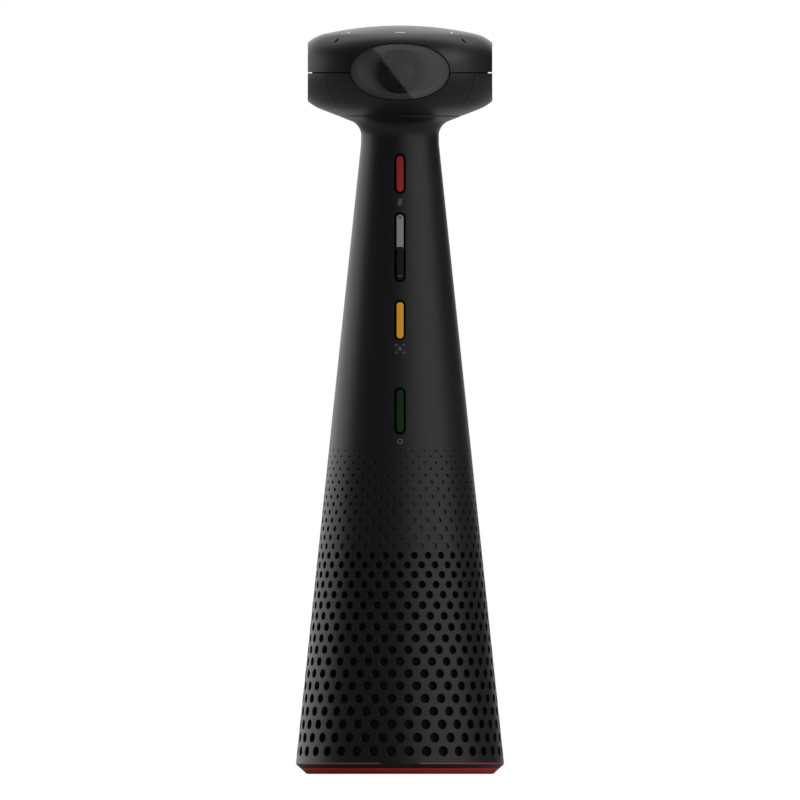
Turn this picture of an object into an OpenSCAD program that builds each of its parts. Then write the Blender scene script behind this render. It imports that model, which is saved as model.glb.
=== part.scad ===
// Conference camera: a round head with four lens windows on a tapered tower
// whose lower half is a perforated loudspeaker grille.
// The origin is the middle of the foot, on the table. Z is up, the buttons face -Y.

/* [Foot] */
// Height of the soft foot ring
foot_h = 2.3; // [1.6:0.1:4]
// How far the foot ring stands inside the tower shell's lower edge
foot_inset = 4.2; // [3.2:0.1:7.6]
// Height of the chamfered rim of the base plate
rim_h = 1.7; // [1.2:0.1:3]
// Chamfer of the base plate, measured level
rim_chamfer = 1.7; // [1:0.1:2.6]
// Height of the coloured line round the base
accent_h = 0.5; // [0.4:0.1:1]
// Width of the bare gap that the coloured line leaves at the front
accent_gap = 16; // [8:1:30]

/* [Tower] */
// Height of the tapered shell
shell_h = 248.4; // [244:0.2:300]
// Radius of the shell at its lower edge
shell_foot_r = 41.6; // [41:0.1:43]
// Radius of the shell at its upper edge
shell_top_r = 15.5; // [15:0.1:17]
// Wall of the shell, measured level
shell_wall = 2.3; // [1.8:0.1:2.6]

/* [Grille] */
// Columns of holes round the tower
grille_columns = 36; // [32:2:36]
// Rows of open holes
hole_rows = 18; // [10:1:18]
// Rows of blind dimples above the open holes
dimple_rows = 14; // [6:1:14]
// Height of the lowest row above the lower edge of the shell
grille_low = 4.6; // [4.4:0.1:6]
// Distance between the two lowest rows
row_pitch = 5.44; // [5.2:0.02:5.6]
// How much closer each pair of rows is than the pair below it
row_pitch_drop = 0.104; // [0.1:0.001:0.11]
// Diameter of the lowest holes
hole_d_low = 3.4; // [2.8:0.05:3.45]
// Diameter of the highest open holes
hole_d_high = 2.4; // [2:0.05:2.6]
// Diameter of the lowest dimples
dimple_d_low = 2.25; // [1.8:0.05:2.4]
// Diameter of the highest dimples
dimple_d_high = 0.7; // [0.6:0.05:1]
// Depth of a dimple
dimple_depth = 0.6; // [0.3:0.05:1]

/* [Neck] */
// Height of the flared neck
neck_h = 10.4; // [10:0.1:12]
// Narrowest radius of the neck
waist_r = 15.55; // [15.55:0.05:16.5]
// Height of the narrowest place above the shell
waist_rise = 2.5; // [2:0.1:3]
// Radius of the hollow curve under the head
neck_curve_r = 6.2; // [5.6:0.1:6.8]
// Slope of the flare and of the underside of the head, in degrees
flare_angle = 21.4; // [20:0.2:23]

/* [Head] */
// Greatest radius of the head
head_r = 42.1; // [41.5:0.1:43]
// How far each window plane cuts into the head's greatest radius
facet_inset = 5.2; // [4.9:0.1:5.5]
// Radius of the rounded edge under the windows
under_r = 16.075; // [15.7:0.025:16.5]
// Height of the upper head shell
crown_h = 18.9; // [18.5:0.1:20]
// Radius of the rounded shoulder of the upper head shell
shoulder_r = 15.5; // [15:0.1:15.8]
// Height of the shoulder's centre above the parting line
shoulder_rise = 0.5; // [0.3:0.1:0.8]
// Wall of the head shells
head_wall = 2.6; // [2.4:0.1:2.8]
// Height of the open parting line between the head shells
parting_gap = 0.45; // [0.3:0.05:0.6]
// Depth of the parting line
parting_depth = 1.9; // [1.2:0.1:2]

/* [Windows] */
// Margin between a window pocket and the sides of its plane
window_margin = 0.67; // [0.47:0.05:1.27]
// Half the height of a window pocket
window_b = 11.6; // [11:0.1:11.7]
// Thickness of the smoked glass
glass_t = 1.2; // [0.8:0.1:1.3]
// Depth of the glass behind the window rim
glass_sink = 1.8; // [1.6:0.1:2]
// Radius of a lens barrel
barrel_r = 8.35; // [7.5:0.05:8.5]
// Radius of a front lens
lens_r = 6.8; // [5:0.1:6.9]

/* [Buttons] */
// Width of the black frame round each button
bezel_w = 4.5; // [4.4:0.1:4.8]
// Width of each button
button_w = 2.8; // [2.6:0.05:2.9]
// Length of the mute button's frame
mute_l = 16.2; // [15:0.1:18]
// Length of the volume rocker's frame
volume_l = 28; // [27:0.1:30]
// Length of the view button's frame
view_l = 16.3; // [15:0.1:18]
// Length of the power button's frame
power_l = 19; // [17:0.1:20]
// Distance from the top of the tower shell down to the middle of the mute button
mute_drop = 12.8; // [12.6:0.1:13.6]
// Distance from the top of the tower shell down to the middle of the volume rocker
volume_drop = 42.2; // [41:0.1:43]
// Distance from the top of the tower shell down to the middle of the view button
view_drop = 71.4; // [70:0.1:74]
// Distance from the top of the tower shell down to the middle of the power button
power_drop = 107.7; // [100:0.1:109]
// Travel of a pressed button
press_travel = 0.6; // [0.4:0.05:0.7]

/* [Inside] */
// Level clearance between the loudspeaker's enclosure and the cloth behind the grille
enclosure_clear = 1.3; // [1.3:0.1:4]
// Thickness of the steel ballast
ballast_h = 6.3; // [5:0.1:6.6]
// Outer radius of the spine tube
spine_r = 5.5; // [5:0.1:5.6]
// Radius of the tripod thread's core
thread_r = 2.6; // [2.5:0.05:2.8]
// Length of the tripod thread
thread_l = 8; // [6:0.1:8.5]

/* [Hidden] */

// Roundness of circles and of ovals drawn point by point
$fn = 96;
hole_sides = 24;
bowl_sides = 32;
oval_points = 48;
arc_steps = 16;
// How far a cutting shape runs past the surface that it cuts
over = 1;
// Clearance of parts that are pressed or dropped into each other
fit_gap = 0.1;
// Clearance round parts that slide or turn
run_gap = 0.05;
// Clearance between parts that only lie beside each other
air_gap = 0.3;

// Heights from the table upwards
rim_top_z = foot_h + rim_h;
shell_z = rim_top_z + accent_h;
neck_z = shell_z + shell_h;
seam_z = neck_z + neck_h;

// The tapered shell
taper = (shell_foot_r - shell_top_r) / shell_h;
lean = atan(taper);
function shell_r(z) = shell_foot_r - taper * (z - shell_z);

// Rows of the grille, counted from the lowest one upwards
rows = hole_rows + dimple_rows;
flats = 2 * grille_columns;
flat_angle = 360 / flats;
function row_z(j) = shell_z + grille_low + row_pitch * j - row_pitch_drop * j * (j - 1) / 2;
function part_way(low, high, share) = low + (high - low) * share;
function hole_d(j) = part_way(hole_d_low, hole_d_high, j / (hole_rows - 1));
function dimple_d(j) = part_way(dimple_d_low, dimple_d_high, (j - hole_rows) / (dimple_rows - 1));
grille_margin = 2.2;
mesh_t = 0.5;
mesh_gap = 0.25;
mesh_top_z = row_z(hole_rows) + grille_margin / 2;

// Inner radius of the cloth behind the grille
function core_r(z) = shell_r(z) - shell_wall - mesh_gap - mesh_t;

// Base
foot_r = shell_foot_r - foot_inset;
rim_r = shell_foot_r - rim_chamfer;
floor_t = 3.2;
floor_z = foot_h + floor_t;
spigot_h = 2.5;
spigot_z = shell_z + spigot_h;
spigot_r = shell_r(spigot_z) - shell_wall - 2 * fit_gap;
spigot_t = 2.4;
foot_w = 7.4;
foot_bore_r = foot_r - foot_w;
cover_t = 1.3;
insert_r = 5;
ballast_clear = 3.4;
ballast_r = spigot_r - spigot_t - ballast_clear;
ballast_bore_r = 9;
ballast_z = floor_z + ballast_h;
boss_r = 2.6;
boss_h = 0.8;
screw_inset = 8;
screw_ring_r = foot_bore_r - screw_inset;
boss_ring_r = screw_ring_r;
screw_r = 1.5;
screw_head_r = 2.3;
screw_head_h = 1.2;
screw_l = 6.4;

// Ports at the back
io_z = ballast_z + boss_h;
board_t = 1.6;
port_w = 8.94;
port_h = 3.26;
port_l = 7.35;
port_wall = 0.3;
tongue_w = 6.7;
tongue_t = 0.7;
tongue_l = 5;
port_pitch = 13;
port_z = io_z + board_t + port_h / 2;
panel_w = 26;
panel_h = 10.8;
panel_t = 2;
panel_frame = 0.8;
panel_inset = 2.85;
panel_y = shell_r(io_z) - panel_inset;
panel_clear = 2.4;

// Loudspeaker
deflector_z = 20;
deflector_t = 2;
deflector_rise = 18;
deflector_tip_r = 2;
baffle_z = 50;
baffle_t = 3;
baffle_clear = 0.95;
baffle_rim = 3.4;
basket_t = 1.5;
basket_h = 13;
basket_back_r = 11;
basket_wall = 1.4;
surround_r = 1.6;
cone_t = 0.6;
cone_back_r = 7;
magnet_r = 15;
magnet_h = 10;
enclosure_wall = 1.8;
enclosure_h = 35;
speaker_z = baffle_z + baffle_t;
enclosure_z = speaker_z + enclosure_h;
enclosure_r = core_r(enclosure_z) - enclosure_clear;
speaker_r = enclosure_r - enclosure_wall - air_gap;
baffle_r = core_r(speaker_z) - baffle_clear;
baffle_hole_r = speaker_r - baffle_rim;
deflector_lip = 0.5;
deflector_r = baffle_r + deflector_lip;
column_r = 2.5;
column_inset = 3.5;
column_ring_r = deflector_r - column_inset;
deflector_foot_inset = 7.5;
deflector_foot_r = column_ring_r - deflector_foot_inset;
io_clear = 1;
io_r = column_ring_r - column_r - io_clear;

// Spine with its boards
spine_bore_r = spine_r - 1.4;
spine_flange_r = 16;
spine_flange_t = 2.5;
spine_screw_ring_r = 12;
small_screw_r = 1;
small_head_r = 1.8;
small_head_h = 1.1;
main_board_w = 24;
main_board_l = 92;
main_board_rise = 12;
main_board_z = enclosure_z + main_board_rise;
board_boss_r = 2.2;
board_boss_inset = 10;
board_y = spine_r + 2.2;
sink_w = 18;
sink_l = 24;
sink_base_t = 1.6;
sink_fin_h = 4.6;
sink_fin_t = 1;
sink_fins = 6;
chip_t = 1;
chip_w = 11;

// Buttons, in a frame that stands on the slope of the shell
bezel_sink = 0.15;
bezel_t = 3.25;
bezel_back = bezel_sink + bezel_t;
button_gap = 0.1;
button_proud = 0.25;
button_flange_rim = 0.45;
button_flange_t = 0.8;
button_flange_gap = 0.15;
plunger_r = 0.9;
plunger_gap = 0.1;
switch_t = 1.5;
switch_w = 3.4;
switch_dome_r = 0.8;
switch_dome_h = 0.3;
switch_top = 5.7;
button_board_t = 1.2;
button_board_w = 7;
button_board_front = switch_top + switch_t;
button_board_back = button_board_front + button_board_t;
button_board_margin = 6;
bracket_t = 1.2;
web_t = 2;
rocker_gap = 0.3;
rocker_pin_r = 0.5;
rocker_pin_depth = 2.6;
rocker_back = 3.5;
rocker_end_t = 2.1;
rocker_hub_l = 5;
rocker_plunger_y = 9;
rocker_split = 0.25;

// Neck
collar_bore_r = spine_r + fit_gap;
collar_spigot_h = 3.2;
collar_spigot_r = shell_top_r - shell_wall - fit_gap;
collar_spigot_wall = 2.4;
collar_seat_z = neck_z + 1.4;
seam_gap = 0.35;
seam_depth = 0.7;
curve_c = [waist_r + neck_curve_r, neck_z + waist_rise];
flare_start = curve_c + neck_curve_r * [-sin(flare_angle), cos(flare_angle)];
function flare_r(z) = flare_start[0] + (z - flare_start[1]) / tan(flare_angle);

// Head outline: crown and shoulder meet smoothly, and so do underside and flare
under_above = (under_r * (1 - sin(flare_angle)) + (head_r - flare_start[0]) * sin(flare_angle)) / cos(flare_angle);
bowl_h = flare_start[1] + under_above - shoulder_rise - seam_z;
parting_z = seam_z + bowl_h;
head_top_z = parting_z + crown_h;
shoulder_c = [head_r - shoulder_r, parting_z + shoulder_rise];
crown_above = head_top_z - shoulder_c[1];
crown_r = (shoulder_c[0] * shoulder_c[0] + crown_above * crown_above - shoulder_r * shoulder_r)
  / (2 * (crown_above - shoulder_r));
crown_c = [0, head_top_z - crown_r];
crown_angle = atan2(shoulder_c[1] - crown_c[1], shoulder_c[0]);
under_c = [head_r - under_r, shoulder_c[1]];
function arc(c, r, from, to, steps) =
  [for (i = [0 : steps]) let (a = part_way(from, to, i / steps)) c + r * [cos(a), sin(a)]];

// Windows
facet_d = head_r - facet_inset;
window_a = sqrt(head_r * head_r - facet_d * facet_d) - window_margin;
pocket_gap = 0.35;
window_seat_d = facet_d - glass_sink - glass_t;
window_wall = 2;
cavity_d = window_seat_d - window_wall;
ledge = 1.5;
mask_t = 3;
mask_a = window_a - 0.5;
mask_b = window_b - 0.8;
mask_rim_gap = 0.3;
bowl_rim = 0.7;
bowl_depth = 2.6;
lens_z = shoulder_c[1];
diagonal_seam_w = 0.3;
diagonal_seam_depth = 0.7;

// Inside the head
head_floor_t = 2;
head_floor_z = seam_z + head_floor_t;
head_bore_r = 6;
frame_half = 12;
frame_wall = 2;
frame_rise = 7.2;
frame_h = bowl_h + frame_rise;
frame_foot_t = 1.6;
sensor_board_w = 19;
sensor_board_t = 1.2;
holder_w = 15;
holder_l = 4;
barrel_end_gap = 0.9;
barrel_bore_depth = 7;
lens_dome_r = 14;
head_screw_ring_r = 15.2;
head_screw_r = 1.25;
head_screw_head_r = 2.2;
head_screw_head_h = 1.4;
head_screw_l = 5.4;
mic_board_t = 1.2;
mic_board_inset = 9.1;
mic_board_r = head_r - mic_board_inset;
mic_board_bore_r = 9;
mic_board_z = head_floor_z + frame_h;
sensor_board_h = 2 * (mic_board_z - lens_z - air_gap);
mic_w = 3;
mic_l = 4;
mic_h = 1;
mic_inset = 0.4;
mic_ring_r = mic_board_r - mic_inset;
mic_slot_rise = 3.2;
mic_slot_r = mic_ring_r + mic_slot_rise;
mic_slot_l = 2.6;
mic_slot_w = 0.5;
light_bar_inset = 5.5;
light_bar_r = mic_board_r - light_bar_inset;
light_bar_l = 4;
light_bar_w = 0.6;
light_dot_inset = 4.5;
light_dot_ring_r = mic_board_r - light_dot_inset;
light_dot_r = 0.55;
light_sleeve = 0.05;

// A frame on the front of the tower shell: X to the right, Y up the slope, Z out of the surface
module on_front(z) {
  translate([0, -shell_r(z), z]) rotate([90 - lean, 0, 0]) children();
}

module pill(width, length) {
  square([width, length - width], center = true);
  for (side = [-1, 1]) translate([0, side * (length - width) / 2]) circle(d = width);
}

module pill_block(width, length, back, front) {
  translate([0, 0, -back]) linear_extrude(back + front) pill(width, length);
}

module ring(outer_r, inner_r, z, h) {
  translate([0, 0, z]) difference() {
    cylinder(r = outer_r, h = h);
    translate([0, 0, -over]) cylinder(r = inner_r, h = h + 2 * over);
  }
}

module around(count, radius, turn = 0) {
  for (i = [0 : count - 1]) rotate(turn + 360 / count * i) translate([radius, 0, 0]) children();
}

module oval(a, b) {
  polygon([for (i = [0 : oval_points - 1]) let (t = 360 * i / oval_points) [a * cos(t), b * sin(t)]]);
}

// An oval block whose flat faces stand square to -Y, from distance d_in to d_out from the axis
module oval_block(a, b, d_in, d_out) {
  translate([0, -d_in, lens_z]) rotate([90, 0, 0]) linear_extrude(d_out - d_in) oval(a, b);
}

module disc_block(r, d_in, d_out) {
  translate([0, -d_in, lens_z]) rotate([90, 0, 0]) cylinder(r = r, h = d_out - d_in);
}

// A plate that stands square to -Y
module wall_block(width, height, d_in, d_out) {
  translate([-width / 2, -d_out, lens_z - height / 2]) cube([width, d_out - d_in, height]);
}

// Foot
module foot_ring() {
  color("firebrick") rotate_extrude() polygon([
    [foot_bore_r, 0], [foot_r, 0], [rim_r - fit_gap, foot_h], [foot_bore_r, foot_h]
  ]);
}

module bottom_cover() {
  color("dimgray") difference() {
    ring(foot_bore_r - fit_gap, insert_r + fit_gap, foot_h - cover_t, cover_t);
    around(4, screw_ring_r, 45) translate([0, 0, foot_h - cover_t - over])
      cylinder(r = screw_head_r + 2 * fit_gap, h = cover_t + 2 * over);
  }
}

module accent_sector(extra) {
  translate([-accent_gap / 2 - extra, -shell_foot_r - over, rim_top_z - over])
    cube([accent_gap + 2 * extra, shell_foot_r, accent_h + 2 * over]);
}

module base_plate() {
  color("#202020") difference() {
    union() {
      rotate_extrude() polygon([
        [0, foot_h], [rim_r, foot_h], [shell_foot_r, rim_top_z], [spigot_r, rim_top_z],
        [spigot_r, spigot_z], [spigot_r - spigot_t, spigot_z], [spigot_r - spigot_t, floor_z], [0, floor_z]
      ]);
      intersection() {
        ring(shell_foot_r, spigot_r - fit_gap, rim_top_z - accent_h, 2 * accent_h);
        accent_sector(0);
      }
    }
    translate([0, 0, foot_h - over]) cylinder(r = insert_r, h = floor_t + 2 * over);
    around(4, screw_ring_r, 45) translate([0, 0, foot_h - over])
      cylinder(r = screw_r + fit_gap, h = floor_t + 2 * over);
  }
}

module base_screws() {
  color("silver") around(4, screw_ring_r, 45) translate([0, 0, foot_h]) {
    translate([0, 0, -screw_head_h]) cylinder(r = screw_head_r, h = screw_head_h);
    cylinder(r = screw_r, h = screw_l);
  }
}

module tripod_insert() {
  color("goldenrod") ring(insert_r, thread_r, foot_h - cover_t, thread_l);
}

module ballast_weight() {
  color("slategray") difference() {
    union() {
      ring(ballast_r, ballast_bore_r, floor_z, ballast_h);
      around(4, boss_ring_r) translate([0, 0, floor_z]) cylinder(r = boss_r, h = ballast_h + boss_h);
    }
    around(4, screw_ring_r, 45) translate([0, 0, floor_z - over])
      cylinder(r = screw_r, h = over + foot_h + screw_l - floor_z);
  }
}

module accent_ring() {
  color("indianred") difference() {
    ring(shell_foot_r, spigot_r + fit_gap, rim_top_z, accent_h);
    accent_sector(fit_gap);
  }
}

// Ports
module io_board() {
  color("darkgreen") translate([0, 0, io_z]) difference() {
    union() {
      cylinder(r = io_r, h = board_t);
      translate([-panel_w / 2, 0, 0]) cube([panel_w, panel_y - panel_t - air_gap, board_t]);
    }
    translate([0, 0, -over]) cylinder(r = ballast_bore_r, h = board_t + 2 * over);
  }
}

// A block with rounded ends that runs along Y from y0, for the mouth of a port
module port_form(width, height, y0, length) {
  translate([0, y0 + length, port_z]) rotate([90, 0, 0]) linear_extrude(length)
    rotate(90) pill(height, width);
}

module usb_port(x) {
  mouth_y = panel_y - fit_gap;
  translate([x, 0, 0]) {
    difference() {
      port_form(port_w, port_h, mouth_y - port_l, port_l);
      port_form(port_w - 2 * port_wall, port_h - 2 * port_wall, mouth_y - port_l + over, port_l);
    }
    translate([-tongue_w / 2, mouth_y - port_l + over / 2, port_z - tongue_t / 2])
      cube([tongue_w, tongue_l + over / 2, tongue_t]);
  }
}

module usb_data_port() {
  color("silver") usb_port(-port_pitch / 2);
}

module usb_power_port() {
  color("silver") usb_port(port_pitch / 2);
}

module panel_block(inset, y0, y1) {
  translate([-panel_w / 2 + inset, y0, port_z - panel_h / 2 + inset])
    cube([panel_w - 2 * inset, y1 - y0, panel_h - 2 * inset]);
}

module port_panel() {
  color("#181818") difference() {
    intersection() {
      panel_block(fit_gap, panel_y - panel_t, shell_foot_r);
      translate([0, 0, shell_z]) cylinder(r1 = shell_foot_r, r2 = shell_top_r, h = shell_h);
    }
    panel_block(panel_frame, panel_y, shell_foot_r + over);
    for (side = [-1, 1]) translate([side * port_pitch / 2, 0, 0])
      port_form(port_w + 2 * fit_gap, port_h + 2 * fit_gap, panel_y - panel_t - over, panel_t + 2 * over);
  }
}

// Loudspeaker
module sound_deflector() {
  color("#303030") {
    translate([0, 0, deflector_z]) cylinder(r = deflector_r, h = deflector_t);
    around(4, column_ring_r, 45) translate([0, 0, ballast_z]) cylinder(r = column_r, h = baffle_z - ballast_z);
    rotate_extrude() difference() {
      translate([0, deflector_z + deflector_t / 2]) square([deflector_foot_r, deflector_rise + deflector_t / 2]);
      translate([deflector_foot_r, deflector_z + deflector_t + deflector_rise])
        scale([(deflector_foot_r - deflector_tip_r) / deflector_rise, 1]) circle(r = deflector_rise);
    }
  }
}

module speaker_baffle() {
  color("#282828") ring(baffle_r, baffle_hole_r, baffle_z, baffle_t);
}

module speaker_basket() {
  z0 = speaker_z + basket_t;
  color("dimgray") rotate_extrude() polygon([
    [baffle_hole_r - surround_r, speaker_z], [speaker_r, speaker_z], [speaker_r, z0], [baffle_hole_r, z0],
    [basket_back_r + basket_wall, z0 + basket_h], [cone_back_r + 2 * basket_wall, z0 + basket_h],
    [cone_back_r + 2 * basket_wall, z0 + basket_h - basket_wall], [basket_back_r, z0 + basket_h - basket_wall],
    [baffle_hole_r - surround_r, z0]
  ]);
}

module speaker_magnet() {
  color("slategray") translate([0, 0, speaker_z + basket_t + basket_h]) {
    cylinder(r = magnet_r, h = magnet_h);
    translate([0, 0, -basket_wall]) cylinder(r = cone_back_r + basket_wall, h = basket_wall);
  }
}

module speaker_cone() {
  edge_r = baffle_hole_r - surround_r - fit_gap;
  back_z = speaker_z + basket_t + basket_h - 2 * basket_wall;
  color("black") rotate_extrude() union() {
    polygon([
      [0, back_z - cone_t], [cone_back_r, back_z - cone_t], [edge_r - surround_r, speaker_z], [edge_r, speaker_z],
      [edge_r, speaker_z + cone_t], [edge_r - surround_r + cone_t, speaker_z + cone_t], [cone_back_r, back_z],
      [0, back_z]
    ]);
    intersection() {
      difference() {
        translate([edge_r - surround_r, speaker_z]) circle(r = surround_r - cone_t / 2);
        translate([edge_r - surround_r, speaker_z]) circle(r = surround_r - 1.5 * cone_t);
      }
      translate([0, speaker_z - surround_r]) square([edge_r, surround_r + cone_t / 2]);
    }
  }
}

module speaker_enclosure() {
  inner_r = enclosure_r - enclosure_wall;
  color("#242424") difference() {
    rotate_extrude() polygon([
      [inner_r, speaker_z], [baffle_r, speaker_z], [baffle_r, speaker_z + enclosure_wall],
      [enclosure_r, speaker_z + enclosure_wall], [enclosure_r, enclosure_z], [0, enclosure_z],
      [0, enclosure_z - enclosure_wall], [inner_r, enclosure_z - enclosure_wall]
    ]);
    around(4, spine_screw_ring_r, 45) translate([0, 0, enclosure_z - enclosure_wall - over])
      cylinder(r = small_screw_r, h = enclosure_wall + 2 * over);
  }
}

// Tower shell
// A tapered form with one flat for each column of holes, so that every hole stands square in its flat
module flats_form(inset, low_z, high_z) {
  low_r = shell_r(low_z) - inset;
  high_r = shell_r(high_z) - inset;
  intersection_for (k = [0 : grille_columns - 1]) rotate(flat_angle * k) rotate([90, 0, 0])
    linear_extrude(4 * shell_foot_r, center = true)
      polygon([[-low_r, low_z], [low_r, low_z], [high_r, high_z], [-high_r, high_z]]);
}

// Behind the ports the shell is plain
function behind_ports(azimuth, z) =
  sin(azimuth) > 0 && abs(shell_r(z) * cos(azimuth)) < panel_w / 2 + panel_clear
  && z < port_z + panel_h / 2 + panel_clear;

module grille_row(j, d, depth) {
  for (k = [0 : grille_columns - 1]) {
    azimuth = 90 + flat_angle * (2 * k + (j + 1) % 2);
    if (!behind_ports(azimuth, row_z(j)))
      rotate(azimuth) translate([shell_r(row_z(j)), 0, row_z(j)]) rotate([0, 90 - lean, 0])
        translate([0, 0, -depth]) cylinder(d = d, h = depth + over, $fn = hole_sides);
  }
}

module button_recesses() {
  for (b = [[mute_drop, mute_l], [volume_drop, volume_l], [view_drop, view_l], [power_drop, power_l]])
    on_front(neck_z - b[0]) pill_block(bezel_w + 2 * run_gap, b[1] + 2 * run_gap, shell_wall + over, over);
}

module tower_shell() {
  color("#1c1c1c") difference() {
    flats_form(0, shell_z, neck_z);
    flats_form(shell_wall, shell_z - over, neck_z + over);
    for (j = [0 : hole_rows - 1]) grille_row(j, hole_d(j), shell_wall + over);
    for (j = [hole_rows : rows - 1]) grille_row(j, dimple_d(j), dimple_depth);
    panel_block(0, panel_y - 2 * panel_t, shell_foot_r + over);
    button_recesses();
  }
}

module acoustic_mesh() {
  low_z = spigot_z + air_gap;
  h = mesh_top_z - low_z;
  outer = shell_wall + mesh_gap;
  color("#101010") difference() {
    translate([0, 0, low_z]) cylinder(r1 = shell_r(low_z) - outer, r2 = shell_r(mesh_top_z) - outer, h = h);
    translate([0, 0, low_z - over]) cylinder(
      r1 = shell_r(low_z - over) - outer - mesh_t, r2 = shell_r(mesh_top_z + over) - outer - mesh_t, h = h + 2 * over
    );
    panel_block(-air_gap, panel_y - 2 * panel_t, shell_foot_r + over);
  }
}

// Spine
module spine_tube() {
  color("#2c2c2c") difference() {
    union() {
      translate([0, 0, enclosure_z]) cylinder(r = spine_flange_r, h = spine_flange_t);
      translate([0, 0, enclosure_z]) cylinder(r = spine_r, h = seam_z - enclosure_z);
      for (z = [main_board_z + board_boss_inset, main_board_z + main_board_l - board_boss_inset])
        translate([0, 0, z]) rotate([-90, 0, 0]) cylinder(r = board_boss_r, h = board_y);
    }
    translate([0, 0, enclosure_z - over]) cylinder(r = spine_bore_r, h = seam_z - enclosure_z + 2 * over);
    around(4, spine_screw_ring_r, 45) translate([0, 0, enclosure_z - over])
      cylinder(r = small_screw_r + fit_gap, h = spine_flange_t + 2 * over);
  }
}

module spine_screws() {
  color("silver") around(4, spine_screw_ring_r, 45) translate([0, 0, enclosure_z - enclosure_wall]) {
    cylinder(r = small_screw_r, h = enclosure_wall + spine_flange_t);
    translate([0, 0, enclosure_wall + spine_flange_t]) cylinder(r = small_head_r, h = small_head_h);
  }
}

module head_cable() {
  color("#404040") translate([0, 0, enclosure_z + air_gap])
    cylinder(r = spine_bore_r - air_gap, h = head_floor_z + frame_foot_t - enclosure_z - air_gap);
}

module main_board() {
  color("darkgreen") {
    translate([-main_board_w / 2, board_y, main_board_z]) cube([main_board_w, board_t, main_board_l]);
    translate([-chip_w / 2, board_y, main_board_z + (main_board_l - chip_w) / 2])
      cube([chip_w, board_t + chip_t, chip_w]);
  }
}

module heat_sink() {
  pitch = (sink_w - sink_fin_t) / (sink_fins - 1);
  color("silver") translate([-sink_w / 2, board_y + board_t + chip_t, main_board_z + (main_board_l - sink_l) / 2]) {
    cube([sink_w, sink_base_t, sink_l]);
    for (i = [0 : sink_fins - 1]) translate([pitch * i, 0, 0]) cube([sink_fin_t, sink_base_t + sink_fin_h, sink_l]);
  }
}

// Board behind the buttons
board_mid_z = neck_z - (mute_drop + power_drop) / 2;
board_l = (power_drop - mute_drop) / cos(lean) + 2 * button_board_margin;
module button_board() {
  color("darkgreen") on_front(board_mid_z) translate([-button_board_w / 2, -board_l / 2, -button_board_back])
    cube([button_board_w, board_l, button_board_t]);
}

module button_bracket() {
  plate_back = button_board_back + bracket_t;
  foot_y = -spine_r - run_gap;
  low_z = board_mid_z - board_l / 2 * cos(lean);
  high_z = board_mid_z + board_l / 2 * cos(lean);
  color("#303030") {
    on_front(board_mid_z) translate([-button_board_w / 2, -board_l / 2, -plate_back])
      cube([button_board_w, board_l, bracket_t]);
    rotate([90, 0, 90]) translate([0, 0, -web_t / 2]) linear_extrude(web_t) polygon([
      [foot_y, low_z], [foot_y, high_z],
      [-shell_r(high_z) + button_board_back + bracket_t / 2, high_z],
      [-shell_r(low_z) + button_board_back + bracket_t / 2, low_z]
    ]);
  }
}

module tact_switch() {
  translate([-switch_w / 2, -switch_w / 2, -button_board_front]) cube([switch_w, switch_w, switch_t - switch_dome_h]);
  translate([0, 0, -button_board_front]) cylinder(r = switch_dome_r, h = switch_t);
}

module button_switches() {
  color("silver") {
    for (drop = [mute_drop, view_drop, power_drop]) on_front(neck_z - drop) tact_switch();
    for (side = [-1, 1]) on_front(neck_z - volume_drop) translate([0, side * rocker_plunger_y, 0]) tact_switch();
  }
}

// Buttons
module button_bezel(length) {
  difference() {
    pill_block(bezel_w, length, bezel_back, -bezel_sink);
    pill_block(button_w + 2 * button_gap, length - bezel_w + button_w + 2 * button_gap, bezel_back + over, over);
  }
}

module press_button(length) {
  inner_l = length - bezel_w + button_w;
  flange_front = bezel_back + button_flange_gap;
  flange_back = flange_front + button_flange_t;
  pill_block(button_w, inner_l, flange_back, button_proud);
  pill_block(button_w + 2 * button_flange_rim, inner_l + 2 * button_flange_rim, flange_back, -flange_front);
  translate([0, 0, -switch_top + press_travel + plunger_gap])
    cylinder(r = plunger_r, h = switch_top - press_travel - plunger_gap - flange_front);
}

module mute_bezel() {
  color("black") on_front(neck_z - mute_drop) button_bezel(mute_l);
}

module view_bezel() {
  color("black") on_front(neck_z - view_drop) button_bezel(view_l);
}

module power_bezel() {
  color("black") on_front(neck_z - power_drop) button_bezel(power_l);
}

module volume_bezel() {
  inner_l = volume_l - bezel_w + button_w;
  color("black") on_front(neck_z - volume_drop) difference() {
    pill_block(bezel_w, volume_l, bezel_back, -bezel_sink);
    pill_block(button_w + 2 * button_gap, inner_l + 2 * rocker_gap, bezel_back + over, over);
    translate([-bezel_w, 0, -rocker_pin_depth]) rotate([0, 90, 0])
      cylinder(r = rocker_pin_r, h = 2 * bezel_w);
  }
}

module rocker_pin() {
  color("silver") on_front(neck_z - volume_drop) translate([-bezel_w / 2 + run_gap, 0, -rocker_pin_depth])
    rotate([0, 90, 0]) cylinder(r = rocker_pin_r, h = bezel_w - 2 * run_gap);
}

module mute_button() {
  color("red") on_front(neck_z - mute_drop) press_button(mute_l);
}

module view_button() {
  color("orange") on_front(neck_z - view_drop) press_button(view_l);
}

module power_button() {
  color("green") on_front(neck_z - power_drop) press_button(power_l);
}

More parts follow.
